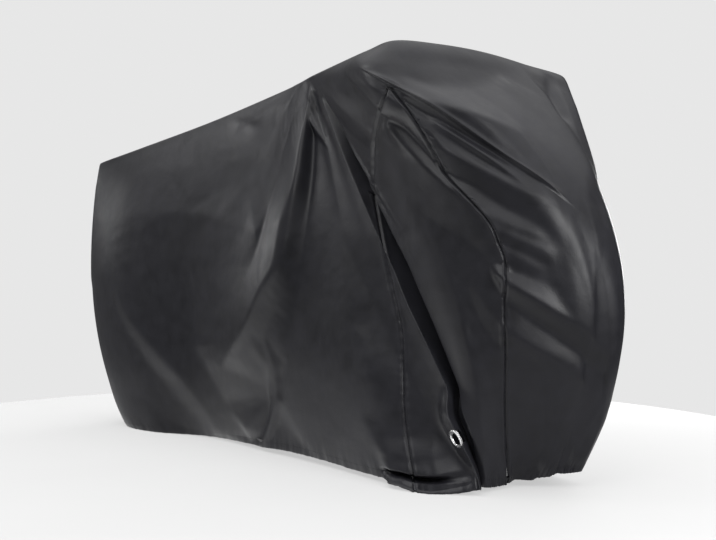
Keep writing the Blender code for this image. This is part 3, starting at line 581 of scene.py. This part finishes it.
# ---- the laps and the hem
def crest_u(v):
    """u of the crest line at v. Above and below it the line keeps its end values."""
    low, high = CREST_LINE[0], CREST_LINE[-1]
    inside = np.polyval(CREST_CUBIC, np.clip(v, low[0], high[0]))
    return np.where(v < low[0], low[1], np.where(v > high[0], high[1], inside))


def lap_shift(u, v, lap):
    """How far one lap moves each point outward and round the cover."""
    name, side, stand_0, stand_1, over_0, over_1, dip, tuck, rise, fall, v_from, v_full, v_to = lap
    line = np.full_like(v, PLEAT_U) if name == "pleat" else crest_u(v)
    stand = stand_0 + (stand_1 - stand_0) * v
    over = np.interp(v, OVER_CHANGES, (over_0, over_1))
    span = np.linalg.norm(form_point(u, v) - form_point(line, v), axis=-1)
    across = side * np.sign(u - line) * span
    strength = smoothstep((v - v_from) / (v_full - v_from)) * (np.abs(u - line) < LAP_WINDOW)
    if v_to < 1:
        strength = strength * smoothstep((v_to - v) / (v_full - v_from) / 2)
    lip = np.exp(-((np.maximum(-across, 0) / rise) ** LAP_SHARP))
    turn = np.clip(across / LAP_TURN, 0, 1)
    past = np.exp(-(np.maximum(across - LAP_TURN, 0) / fall) ** LAP_STEEP)
    out = np.where(across < 0, stand * lip, stand - (stand + dip) * smoothstep(turn))
    out = np.where(across > LAP_TURN, -dip * past, out)
    ahead = np.where(across < 0, over * lip, over - (over + tuck + LAP_TURN) * turn**2)
    ahead = np.where(across > LAP_TURN, -(tuck + LAP_TURN) * past, ahead)
    return out * strength, side * ahead * strength


def lip_shift(u, v):
    """How far the hem's kicked-out lip, and the tuck above it, move each point outward."""
    along = smoothstep((u - LIP_FROM) / LIP_STARTS) * smoothstep((LIP_TO - u) / LIP_ENDS)
    lower = v + LIP_LEAN * (u - LIP_LEVEL) * (along > 0)
    outward = np.zeros_like(v)
    for (v_0, out_0), (v_1, out_1) in zip(LIP_ROWS, LIP_ROWS[1:]):
        share = smoothstep((lower - v_0) / (v_1 - v_0))
        outward = np.where(lower >= v_0, out_0 + (out_1 - out_0) * share, outward)
    return outward * along


def hem_gathers(u, v):
    """How far the elastic's gathers move each point of the hem outward."""
    place = u * RIB_PITCH / GATHER_PITCH
    drift, drift_rate = GATHER_DRIFT
    swell, swell_rate, swell_phase = GATHER_SWELL
    wave = np.sin(math.tau * place + drift * np.sin(place * drift_rate))
    wave = wave + swell * np.sin(place * swell_rate + swell_phase)
    return table_at(u, GATHERS) * wave * np.exp(-(((1 - v) * CLOTH_DROP / GATHER_REACH) ** 2))


# ---- the finished cloth
def draped_point(u, v):
    """The draped cloth, in the tables' frame: the large form with its folds and laps."""
    point, normal, around = form_frame(u, v)
    outward = lip_shift(u, v)
    for fold in FOLDS:
        outward = outward + fold_height(point, fold)
    outward = outward + crease_height(u, v)
    outward = outward * smoothstep(v / TOP_HOLD) + hem_gathers(u, v)
    sideways = np.zeros_like(outward)
    for lap in LAPS:
        out, ahead = lap_shift(u, v, lap)
        outward = outward + out
        sideways = sideways + ahead
    point = point + normal * outward[:, None] + around * sideways[:, None]
    point[:, 2] += table_at(u, HEM_RISES) * smoothstep((v - RISE_FROM) / (1 - RISE_FROM))
    return point


def eyelet_plane():
    """The eyelet's middle, in the tables' frame, and the outward normal of the cloth there."""
    low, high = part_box("lock_eyelet")
    normal = unit(np.array(EYELET_FACES))
    return np.array((low + high) / 2) + np.array(CENTRE) + normal * CLOTH / 2, normal


def cloth_point(u, v):
    """The finished cloth in the part's frame, flat round the eyelet."""
    held_u = np.minimum(u, PLEAT_U)
    held = draped_point(held_u, v)
    middle, normal = eyelet_plane()
    height = (held - middle) @ normal
    offset = held - middle - height[:, None] * normal
    above, below = form_point(np.full(2, PLEAT_U), EYELET_AT[1] + FLAT_DOWN * np.array((-1, 1)))
    down = unit(below - above)
    along = offset @ down
    offset = offset - along[:, None] * down * (1 - FLAT_STRETCH)
    distance = np.linalg.norm(offset, axis=1)
    flat = 1 - smoothstep((distance - FLAT_RADIUS) / FLAT_FADE)
    flat = flat * (np.abs(u - EYELET_AT[0]) < FLAT_WINDOW) * np.exp(-(((u - held_u) / FLAT_PAST_LIP) ** 2))
    return draped_point(u, v) - (flat * height)[:, None] * normal - np.array(CENTRE)


# ---- its mesh
def between(start, stop, columns):
    """Columns from one line to the next, the last line left out."""
    return np.linspace(start, stop, columns + 1)[:-1]


def crowded(half, columns):
    """Offsets on both sides of a line, closest together at the line."""
    share = np.linspace(-1, 1, 2 * columns + 1)
    return half * np.sinh(CROWDING * share) / np.sinh(CROWDING)


def body_columns(v):
    """u of each column round the whole cover at v."""
    pleat = PLEAT_U + crowded(PLEAT_HALF, PLEAT_COLUMNS)
    crest = crest_u(np.array(v)) + crowded(CREST_HALF, CREST_COLUMNS)
    return np.concatenate([
        *[between(*span) for span in REAR_COLUMNS],
        pleat[:-1],
        between(pleat[-1], crest[0], PLEAT_TO_CREST),
        crest[:-1],
        between(crest[-1], NOSE_U, CREST_TO_NOSE),
        between(NOSE_U, RIB_COUNT, FAR_COLUMNS),
    ])


def gusset_columns(v):
    """u of each column across the gusset, the same at every v. It is then cut along its seams."""
    pleat = PLEAT_U + crowded(PLEAT_HALF, PLEAT_COLUMNS)
    before, after = GUSSET_COLUMNS
    return np.concatenate([
        between(GUSSET_SPAN[0], pleat[0], before),
        pleat[:-1],
        np.linspace(pleat[-1], GUSSET_SPAN[1], after + 1),
    ])


def rows_of(spans):
    """v of each row."""
    rows = [between(*span) for span in spans]
    return np.append(np.concatenate(rows), spans[-1][1])


def hem_rows(points, u):
    """The rolled hem: rows that turn in under the last row and up its inner side."""
    edge, above = points[-1], points[-2]
    down = unit(edge - above)
    outward = form_frame(u[-1], np.ones_like(u[-1]))[1]
    outward = unit(outward - down * np.sum(outward * down, axis=1, keepdims=True))
    rows = []
    for turn in (0.0, 0.25, 0.5, 0.75, 1.0):
        angle = math.pi * turn
        inward = HEM_ROLL * (1 - math.cos(angle))
        drop = HEM_ROLL * (math.sin(angle) - 1)
        rows.append(edge - outward * inward + down * drop)
    inner = rows[-1]
    for rise in (0.5, 1.0):
        rows.append(inner - down * HEM_BAND * rise)
    return rows


def cloth_grid(spans, columns_at, closed):
    """A grid of cloth: its points, their places in the cut cloth, and its triangles."""
    rows = rows_of(spans)
    u = np.array([columns_at(v) for v in rows])
    v = np.repeat(rows[:, None], u.shape[1], axis=1)
    points = cloth_point(u.ravel(), v.ravel()).reshape(*u.shape, 3)
    hem = hem_rows(points, u)
    points = np.concatenate([points[:-1], hem])
    u = np.concatenate([u[:-1], np.repeat(u[-1:], len(hem), axis=0)])
    extra = 1 + HEM_TURN_V * np.arange(len(hem))
    v = np.concatenate([v[:-1], np.repeat(extra[:, None], u.shape[1], axis=1)])
    steps = np.linalg.norm(np.diff(points[len(rows) // 2], axis=0), axis=1)
    across = np.append(0, np.cumsum(steps))
    flat = np.stack([np.broadcast_to(across, u.shape), -v * CLOTH_DROP], axis=-1)
    index = np.arange(u.size).reshape(u.shape)
    left, right = (index, np.roll(index, -1, axis=1)) if closed else (index[:, :-1], index[:, 1:])
    a, b, c, d = (part.ravel() for part in (left[:-1], left[1:], right[1:], right[:-1]))
    triangles = np.concatenate([np.stack([a, b, c], axis=1), np.stack([a, c, d], axis=1)])
    return points.reshape(-1, 3), flat.reshape(-1, 2), triangles


def close_top(points, flat, triangles):
    """Closes the cover over its top line with a finely divided sheet, taut between its rim."""
    count = len(body_columns(0.0))
    line = points[:count]
    low, high = line.min(axis=0), line.max(axis=0)
    grid = np.stack(np.meshgrid(
        np.arange(low[0], high[0], TOP_CELL), np.arange(low[1], high[1], TOP_CELL)
    ), axis=-1).reshape(-1, 2)
    edges = [(k, (k + 1) % count) for k in range(count)]
    gap = np.array([np.abs(line[:, :2] - spot).sum(axis=1).min() for spot in grid])
    plan = [Vector(spot) for spot in np.concatenate([line[:, :2], grid[gap > TOP_CELL * TOP_CLEAR]])]
    result = delaunay_2d_cdt(plan, edges, [], 1, TOP_MERGE)
    spots, faces, source = np.array(result[0]), np.array(result[2]), result[3]
    on_line = np.array([min(found) if found and min(found) < count else -1 for found in source])
    used = np.unique(faces)
    inner = used[on_line[used] < 0]
    height = np.full(len(spots), line[:, 2].mean())
    rim = on_line >= 0
    height[rim] = line[on_line[rim], 2]
    ends = np.concatenate([faces[:, [0, 1]], faces[:, [1, 2]], faces[:, [2, 0]]])
    ends = np.concatenate([ends, ends[:, ::-1]])
    number = np.bincount(ends[:, 0], minlength=len(spots))
    for _ in range(TOP_SETTLING):
        total = np.bincount(ends[:, 0], weights=height[ends[:, 1]], minlength=len(spots))
        height[inner] = (total / np.maximum(number, 1))[inner]
    where = on_line.copy()
    where[inner] = len(points) + np.arange(len(inner))
    new = np.column_stack([spots[inner], height[inner]])
    points = np.concatenate([points, new])
    flat = np.concatenate([flat, new[:, :2]])
    return points, flat, np.concatenate([triangles, where[faces]])


# ---- the seams
def level_place(points):
    """Places seen square to the gusset: along the level line across it, height, and depth."""
    x, y, z = (points + np.array(CENTRE)).T
    along = x * math.cos(GUSSET_TURN) + y * math.sin(GUSSET_TURN)
    depth = -x * math.sin(GUSSET_TURN) + y * math.cos(GUSSET_TURN)
    return along, z, depth


def seam_places(z):
    """The left and right seams at height z, along that line."""
    heights = [row[0] for row in reversed(SEAMS)]
    sides = []
    for side in (1, 2):
        values = [row[side] for row in reversed(SEAMS)]
        steps = [np.interp(z + shift, heights, values) for shift in (-SEAM_EASE, 0, SEAM_EASE)]
        sides.append((steps[0] + 2 * steps[1] + steps[2]) / 4)
    return sides


def inside_seams(points):
    """How far each point lies inside the gusset's seams, or outside where negative."""
    along, z, depth = level_place(points)
    left, right = seam_places(z)
    inside = np.minimum(np.minimum(along - left, right - along), SEAMS[0][0] - z)
    return np.where((depth > CUT_DEPTH[0]) & (depth < CUT_DEPTH[1]), inside, -1.0)


def cut_along(points, flat, triangles, value, both=False):
    """Cuts the triangles where value is 0, and keeps those where it is over 0, or both."""
    value = np.where(np.abs(value) < CUT_CLEAR, CUT_CLEAR, value)
    points, flat, value = list(points), list(flat), list(value)
    made = {}

    def crossing(a, b):
        key = (min(a, b), max(a, b))
        if key not in made:
            share = value[a] / (value[a] - value[b])
            made[key] = len(points)
            points.append(points[a] + (points[b] - points[a]) * share)
            flat.append(flat[a] + (flat[b] - flat[a]) * share)
        return made[key]

    signs = np.array(value)[triangles] > 0
    whole = signs.all(axis=1) | ~signs.any(axis=1) if both else signs.all(axis=1)
    mixed = signs.any(axis=1) & ~signs.all(axis=1)
    kept = [tuple(row) for row in triangles[whole]]
    for corners, sign in zip(triangles[mixed], signs[mixed]):
        one = sign.sum() == 1
        turn = int(np.argmax(sign)) if one else int(np.argmin(sign))
        a, b, c = np.roll(corners, -turn)
        tip = (a, crossing(a, b), crossing(a, c))
        base = [(crossing(a, b), b, c), (crossing(a, b), c, crossing(a, c))]
        if one or both:
            kept.append(tip)
        if not one or both:
            kept += base
    used, renamed = np.unique(np.array(kept), return_inverse=True)
    return np.array(points)[used], np.array(flat)[used], renamed.reshape(-1, 3)


def divide_by_seams(points, flat, triangles):
    """Divides the cloth along lines beside each seam, so that the seam can be modelled."""
    for away in SEAM_LINES:
        value = np.abs(inside_seams(points)) - away
        points, flat, triangles = cut_along(points, flat, triangles, value, both=True)
    return points, flat, triangles


def outward_normals(points, triangles):
    """Each point's normal, from the triangles round it."""
    a, b, c = (points[triangles[:, k]] for k in range(3))
    faces = np.cross(b - a, c - a)
    normals = np.zeros_like(points)
    for k in range(3):
        np.add.at(normals, triangles[:, k], faces)
    return unit(normals)


def sink_seams(points, triangles):
    """Draws the cloth in along the seams, with the small puckers that stitching leaves."""
    along, z, depth = level_place(points)
    left, right = seam_places(z)
    away = np.abs(inside_seams(points))
    near = (z < SEAMS[0][0] + GROOVE_PAST) & (depth > CUT_DEPTH[0]) & (depth < CUT_DEPTH[1])
    deep, width = GROOVE
    high, pitch, reach = PUCKER
    drift, drift_rate = PUCKER_DRIFT
    on_right = along > (left + right) / 2
    wave = np.sin(z * math.tau / pitch + drift * np.sin(z * drift_rate) + PUCKER_SHIFT * on_right)
    shift = high * wave * np.exp(-away / reach) - deep * np.exp(-((away / width) ** 2))
    rise, place, spread = SEAM_RISE
    shift = shift + rise * np.exp(-(((away - place) / spread) ** 2))
    return points + outward_normals(points, triangles) * (shift * near)[:, None]


# ---- the pieces
def add_object(name, data):
    """An object with this data, linked to the scene."""
    obj = bpy.data.objects.new(name, data)
    bpy.context.scene.collection.objects.link(obj)
    return obj


def add_piece(name, points, faces, material):
    """A smooth mesh object."""
    mesh = bpy.data.meshes.new(name)
    mesh.from_pydata(points, [], faces)
    mesh.materials.append(material)
    mesh.shade_smooth()
    return add_object(name, mesh)


def add_cloth(name, points, flat, triangles, material):
    """A smooth mesh object with the cut cloth's flat places, in metres, as its UV map."""
    piece = add_piece(name, points.tolist(), triangles.tolist(), material)
    mesh = piece.data
    loops = np.zeros(len(mesh.loops), dtype=np.int32)
    mesh.loops.foreach_get("vertex_index", loops)
    mesh.uv_layers.new(name="cut_cloth").data.foreach_set("uv", flat[loops].ravel())
    mesh.update()
    return piece


def hole_value(points):
    """How far each point lies outside the eyelet's barrel."""
    middle, normal = eyelet_plane()
    offset = points + np.array(CENTRE) - middle
    height = offset @ normal
    radius = np.linalg.norm(offset - height[:, None] * normal, axis=1)
    return np.where(np.abs(height) < EYELET_OUTER, radius - EYELET_HOLE - EYELET_WALL, 1.0)


def make_body(material):
    """The large sheet, with the slit that takes the gusset."""
    points, flat, triangles = cloth_grid(BODY_ROWS, body_columns, closed=True)
    points, flat, triangles = close_top(points, flat, triangles)
    points, flat, triangles = cut_along(points, flat, triangles, -inside_seams(points))
    points, flat, triangles = divide_by_seams(points, flat, triangles)
    points = sink_seams(points, triangles)
    return add_cloth("cover_cloth", points, flat, triangles, material)


def make_gusset(material):
    """The tapering insert, with the hole for the eyelet."""
    points, flat, triangles = cloth_grid(GUSSET_ROWS, gusset_columns, closed=False)
    points, flat, triangles = cut_along(points, flat, triangles, inside_seams(points))
    points, flat, triangles = cut_along(points, flat, triangles, hole_value(points))
    points, flat, triangles = divide_by_seams(points, flat, triangles)
    points = sink_seams(points, triangles)
    return add_cloth("gusset_cloth", points, flat, triangles, material)


def turned(name, profile, sides, material):
    """A closed ring turned round Z from a profile of (radius, height) places."""
    angles = np.linspace(0, math.tau, sides, endpoint=False)
    radius, height = np.array(profile).T
    rings = np.stack([
        np.outer(np.cos(angles), radius), np.outer(np.sin(angles), radius),
        np.broadcast_to(height, (sides, len(height))),
    ], axis=-1)
    count = len(profile)
    faces = []
    for i in range(sides):
        for j in range(count):
            here, beside = i * count, (i + 1) % sides * count
            k = (j + 1) % count
            faces.append((here + j, beside + j, beside + k, here + k))
    return add_piece(name, rings.reshape(-1, 3).tolist(), faces, material)


def make_eyelet(material):
    """The eyelet with its rolled flange, barrel and back washer."""
    middle, normal = eyelet_plane()
    crown = (EYELET_OUTER + EYELET_HOLE) / 2
    half = (EYELET_OUTER - EYELET_HOLE) / 2
    profile = []
    for angle in np.linspace(0, math.pi, FLANGE_PLACES):
        rise = EYELET_RISE * math.sin(angle) ** FLANGE_ROUND
        profile.append((crown + half * math.cos(angle), EYELET_PLAY + rise))
    below = -CLOTH - EYELET_PLAY
    for angle in np.linspace(math.pi, math.tau, FLANGE_PLACES):
        profile.append((crown + half * math.cos(angle), below + EYELET_WALL * math.sin(angle)))
    barrel = EYELET_HOLE + EYELET_WALL
    profile += [(barrel, below), (barrel, EYELET_PLAY)]
    ring = turned("eyelet_ring", profile[::-1], EYELET_SIDES, material)
    turn = Vector(normal).to_track_quat("Z", "Y").to_matrix().to_4x4()
    ring.data.transform(Matrix.Translation(Vector(middle - np.array(CENTRE))) @ turn)
    return ring


def seam_paths(tree, side, offset):
    """Surface places and normals beside a seam, offset from it, as unbroken paths."""
    paths, path = [], []
    across = Vector((math.cos(GUSSET_TURN), math.sin(GUSSET_TURN), 0))
    inward = Vector((-math.sin(GUSSET_TURN), math.cos(GUSSET_TURN), 0))
    for z in np.arange(STITCHED_FROM, STITCHED_TO, PATH_STEP):
        along = seam_places(z)[side] + offset
        start = across * along + inward * RAY_DEPTH + Vector((0, 0, z)) - Vector(CENTRE)
        spot, normal, _, _ = tree.ray_cast(start, inward)
        if spot is None:
            continue
        if path and (spot - path[-1][0]).length > PATH_BREAK * PATH_STEP:
            paths.append(path)
            path = []
        path.append((spot, normal))
    return paths + [path]


def hem_path(trees):
    """Surface places and normals along the hem's stitching, all the way round."""
    u = np.arange(0, RIB_COUNT, PATH_STEP / RIB_PITCH)
    path = []
    for place in cloth_point(u, np.full_like(u, 1 - HEM_STITCH / CLOTH_DROP)):
        found = [tree.find_nearest(Vector(place)) for tree in trees]
        spot, normal, _, _ = min(found, key=lambda item: item[3])
        path.append((spot, normal))
    return path


def stitch_path(path, points, faces):
    """Adds a row of stitches along one path of surface places."""
    steps = [(b[0] - a[0]).length for a, b in zip(path, path[1:])]
    reached = np.append(0, np.cumsum(steps))
    spots = np.array([tuple(spot) for spot, _ in path])
    normals = np.array([tuple(normal) for _, normal in path])
    sides = len(STITCH_SECTION)
    last = (len(STITCH_BENDS) - 1) * sides
    for start in np.arange(0, reached[-1] - STITCH_LONG, STITCH_PITCH):
        bends = []
        for place in (start, start + STITCH_LONG / 2, start + STITCH_LONG):
            spot = [np.interp(place, reached, spots[:, k]) for k in range(3)]
            normal = [np.interp(place, reached, normals[:, k]) for k in range(3)]
            bends.append((np.array(spot), unit(np.array(normal))))
        ahead = unit(bends[-1][0] - bends[0][0])
        first = len(points)
        for (spot, normal), (thick, rise) in zip(bends, STITCH_BENDS):
            beside = np.cross(ahead, normal)
            for out, up in STITCH_SECTION:
                corner = spot + (beside * out * thick + normal * (up * thick + rise)) * STITCH_THICK
                points.append(tuple(corner))
        for ring in range(0, last, sides):
            for k in range(sides):
                here, following = first + ring + k, first + ring + (k + 1) % sides
                faces.append((here, here + sides, following + sides, following))
        faces.append(tuple(first + k for k in range(sides)))
        faces.append(tuple(first + last + k for k in reversed(range(sides))))


def make_stitches(name, paths, material):
    """The stitches along all of these paths, as one piece."""
    points, faces = [], []
    for path in paths:
        if len(path) >= PATH_FEWEST:
            stitch_path(path, points, faces)
    return add_piece(name, points, faces, material)


# ---- the materials
def add_node(tree, kind, inputs=(), **settings):
    """Adds a node. Each of its inputs takes a value, or another node's output."""
    node = tree.nodes.new(kind)
    for key, value in settings.items():
        setattr(node, key, value)
    for socket, value in dict(inputs).items():
        if isinstance(value, bpy.types.NodeSocket):
            tree.links.new(value, node.inputs[socket])
        else:
            node.inputs[socket].default_value = value
    return node


def new_material(name, colour, roughness, metallic=0.0):
    """A Principled material, with its node tree, its shader and a function that adds nodes."""
    material = bpy.data.materials.new(name)
    material.use_nodes = True
    tree = material.node_tree
    shader = tree.nodes["Principled BSDF"]
    shader.inputs["Base Color"].default_value = (*colour, 1)
    shader.inputs["Roughness"].default_value = roughness
    shader.inputs["Metallic"].default_value = metallic
    return material, tree, shader, partial(add_node, tree)


def ramp(add, factor, low, high, colour_low, colour_high):
    """A colour that goes from one to the other as factor goes from low to high."""
    node = add("ShaderNodeValToRGB", {0: factor})
    node.color_ramp.elements[0].position = low
    node.color_ramp.elements[0].color = (*colour_low, 1)
    node.color_ramp.elements[1].position = high
    node.color_ramp.elements[1].color = (*colour_high, 1)
    return node.outputs[0]


def map_range(add, factor, span, values, **settings):
    """A number that goes from the first value to the second as factor goes along its span."""
    inputs = {0: factor, 1: span[0], 2: span[1], 3: values[0], 4: values[1]}
    return add("ShaderNodeMapRange", inputs, **settings).outputs[0]


def cloth_material():
    """Charcoal polyester with a satin coating: a fine plain weave, crinkles and uneven wear."""
    material, tree, shader, add = new_material("coated_polyester_fine", CLOTH_COLOUR, 0.45)
    place = add("ShaderNodeTexCoord")
    cut = add("ShaderNodeUVMap", uv_map="cut_cloth")
    broad = add("ShaderNodeTexNoise", {"Vector": place.outputs["Object"], "Scale": 3.2, "Detail": 3.0})
    small = add("ShaderNodeTexNoise", {"Vector": place.outputs["Object"], "Scale": 26.0, "Detail": 4.0})
    mixed = add("ShaderNodeMath", {0: broad.outputs[0], 1: small.outputs[0]}, operation="ADD")
    shade = add("ShaderNodeMath", {0: mixed.outputs[0], 1: 0.5}, operation="MULTIPLY")
    colour = ramp(add, shade.outputs[0], 0.36, 0.64, CLOTH_DARK, CLOTH_LIGHT)
    tree.links.new(colour, shader.inputs["Base Color"])
    rough = map_range(add, small.outputs[0], (0.3, 0.7), CLOTH_ROUGH)
    tree.links.new(rough, shader.inputs["Roughness"])
    shader.inputs["Specular IOR Level"].default_value = CLOTH_SPECULAR
    warp, weft = (
        add("ShaderNodeTexWave", {"Vector": cut.outputs[0], "Scale": WEAVE_SCALE, "Distortion": 0.6,
                                  "Detail": 1.0, "Detail Scale": 2.0},
            wave_type="BANDS", bands_direction=axis, wave_profile="SIN")
        for axis in ("X", "Y")
    )
    weave = add("ShaderNodeMath", {0: warp.outputs["Fac"], 1: weft.outputs["Fac"]}, operation="MULTIPLY")
    crinkle = add("ShaderNodeTexNoise", {"Vector": place.outputs["Object"], "Scale": 48.0, "Detail": 5.0,
                                         "Roughness": 0.62})
    ripple = add("ShaderNodeTexNoise", {"Vector": place.outputs["Object"], "Scale": 9.0, "Detail": 2.0})
    fine = add("ShaderNodeBump", {"Strength": 0.22, "Distance": 0.0003, "Height": weave.outputs[0]})
    middle = add("ShaderNodeBump", {"Strength": 0.5, "Distance": 0.0008, "Height": crinkle.outputs[0],
                                    "Normal": fine.outputs[0]})
    large = add("ShaderNodeBump", {"Strength": 0.6, "Distance": 0.0035, "Height": ripple.outputs[0],
                                   "Normal": middle.outputs[0]})
    tree.links.new(large.outputs[0], shader.inputs["Normal"])
    return material


def thread_material():
    """Dark polyester thread, twisted."""
    material, tree, shader, add = new_material("thread", THREAD_COLOUR, 0.7)
    place = add("ShaderNodeTexCoord")
    twist = add("ShaderNodeTexWave", {"Vector": place.outputs["Object"], "Scale": 900.0})
    bump = add("ShaderNodeBump", {"Strength": 0.3, "Distance": 0.0002, "Height": twist.outputs["Fac"]})
    tree.links.new(bump.outputs[0], shader.inputs["Normal"])
    spots = add("ShaderNodeTexNoise", {"Vector": place.outputs["Object"], "Scale": 40.0})
    colour = ramp(add, spots.outputs[0], 0.3, 0.7, THREAD_DARK, THREAD_LIGHT)
    tree.links.new(colour, shader.inputs["Base Color"])
    return material


def metal_material():
    """Bright nickel-plated brass, with light marks from handling."""
    material, tree, shader, add = new_material("bright_metal_fine", METAL_COLOUR, 0.2, 1.0)
    place = add("ShaderNodeTexCoord")
    marks = add("ShaderNodeTexNoise", {"Vector": place.outputs["Object"], "Scale": 260.0, "Detail": 4.0})
    rough = map_range(add, marks.outputs[0], (0.3, 0.7), METAL_ROUGH)
    tree.links.new(rough, shader.inputs["Roughness"])
    colour = ramp(add, marks.outputs[0], 0.35, 0.65, METAL_DARK, METAL_LIGHT)
    tree.links.new(colour, shader.inputs["Base Color"])
    bump = add("ShaderNodeBump", {"Strength": 0.15, "Distance": 0.0002, "Height": marks.outputs[0]})
    tree.links.new(bump.outputs[0], shader.inputs["Normal"])
    return material


def stage_material():
    """The studio's matt white floor."""
    material, tree, shader, add = new_material("studio_white", FLOOR_COLOUR, 0.9)
    place = add("ShaderNodeTexCoord")
    spots = add("ShaderNodeTexNoise", {"Vector": place.outputs["Object"], "Scale": 2.0})
    colour = ramp(add, spots.outputs[0], 0.3, 0.7, FLOOR_DARK, FLOOR_LIGHT)
    tree.links.new(colour, shader.inputs["Base Color"])
    shader.inputs["Specular IOR Level"].default_value = 0.1
    shader.inputs["Alpha"].default_value = FLOOR_ALPHA
    return material


# ---- the studio
def set_up_camera():
    """The view of the photograph, as estimated."""
    camera = bpy.data.cameras.new("photo_camera")
    camera.lens = CAMERA_LENS
    camera.sensor_width = 36.0
    camera.shift_y = CAMERA_SHIFT
    obj = add_object("photo_camera", camera)
    obj.location = CAMERA_AT
    obj.rotation_euler = (math.pi / 2, 0, CAMERA_TURN)
    bpy.context.scene.camera = obj


def studio_world():
    """A plain light grey backdrop, and a studio that is bright overhead and below, dim between."""
    world = bpy.data.worlds.new("studio")
    world.use_nodes = True
    tree = world.node_tree
    tree.nodes.clear()
    add = partial(add_node, tree)
    place = add("ShaderNodeTexCoord")
    split = add("ShaderNodeSeparateXYZ", {0: place.outputs["Generated"]})
    above, below, side = (
        map_range(add, split.outputs[axis], *shade, interpolation_type="SMOOTHSTEP")
        for axis, shade in (("Z", SKY), ("Z", BELOW), ("X", BELOW_SIDE))
    )
    floor_light = add("ShaderNodeMath", {0: below, 1: side}, operation="MULTIPLY")
    brighter = add("ShaderNodeMath", {0: above, 1: floor_light.outputs[0]}, operation="MAXIMUM")
    studio = add("ShaderNodeBackground", {"Color": brighter.outputs[0], "Strength": 1.0})
    backdrop = add("ShaderNodeBackground", {"Color": (*BACKDROP_COLOUR, 1), "Strength": 1.0})
    seen = add("ShaderNodeLightPath")
    mixed = add("ShaderNodeMixShader", {0: seen.outputs["Is Camera Ray"], 1: studio.outputs[0],
                                        2: backdrop.outputs[0]})
    add("ShaderNodeOutputWorld", {0: mixed.outputs[0]})
    return world


def add_light(light, place, aim):
    """Hangs a light at its place, turned to its aim."""
    obj = add_object(light.name, light)
    obj.location = place
    obj.rotation_euler = (Vector(aim) - Vector(place)).to_track_quat("-Z", "Y").to_euler()


def set_up_lights():
    """Soft lights from large panels, and a narrow one from the rear on to the big ridge."""
    for name, power, size, place, aim in LIGHTS:
        light = bpy.data.lights.new(name, "AREA")
        light.energy = power
        light.shape = "RECTANGLE"
        light.size, light.size_y = size
        add_light(light, place, aim)
    power, radius, cone, soft = EDGE_LIGHT
    light = bpy.data.lights.new("rear_edge", "SPOT")
    light.energy = power
    light.shadow_soft_size = radius
    light.spot_size = math.radians(cone)
    light.spot_blend = soft
    add_light(light, EDGE_PLACE, EDGE_AIM)


def set_up_floor():
    """A round white floor."""
    bm = bmesh.new()
    bmesh.ops.create_circle(bm, cap_ends=True, segments=FLOOR_SIDES, radius=FLOOR_RADIUS)
    mesh = bpy.data.meshes.new("studio_floor")
    bm.to_mesh(mesh)
    bm.free()
    mesh.materials.append(stage_material())
    add_object("studio_floor", mesh)


def main():
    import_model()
    set_up_camera()
    bpy.context.scene.view_settings.view_transform = "Standard"
    bpy.context.scene.world = studio_world()
    set_up_lights()
    set_up_floor()

    cloth = cloth_material()
    body = make_body(cloth)
    gusset = make_gusset(cloth)
    eyelet = make_eyelet(metal_material())
    graph = bpy.context.evaluated_depsgraph_get()
    body_tree = BVHTree.FromObject(body, graph)
    gusset_tree = BVHTree.FromObject(gusset, graph)
    thread = thread_material()
    beside_seams = (
        (body_tree, 0, -SEAM_STITCH), (gusset_tree, 0, SEAM_STITCH),
        (gusset_tree, 1, -SEAM_STITCH), (body_tree, 1, SEAM_STITCH),
    )
    seam_rows = [path for row in beside_seams for path in seam_paths(*row)]
    seam_stitches = make_stitches("seam_stitches", seam_rows, thread)
    hem_stitches = make_stitches("hem_stitches", [hem_path((body_tree, gusset_tree))], thread)

    for piece in (body, gusset, eyelet, seam_stitches, hem_stitches):
        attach(piece, "root")
    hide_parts("cover_body")
    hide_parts("side_gusset")
    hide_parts("lock_eyelet")


main()
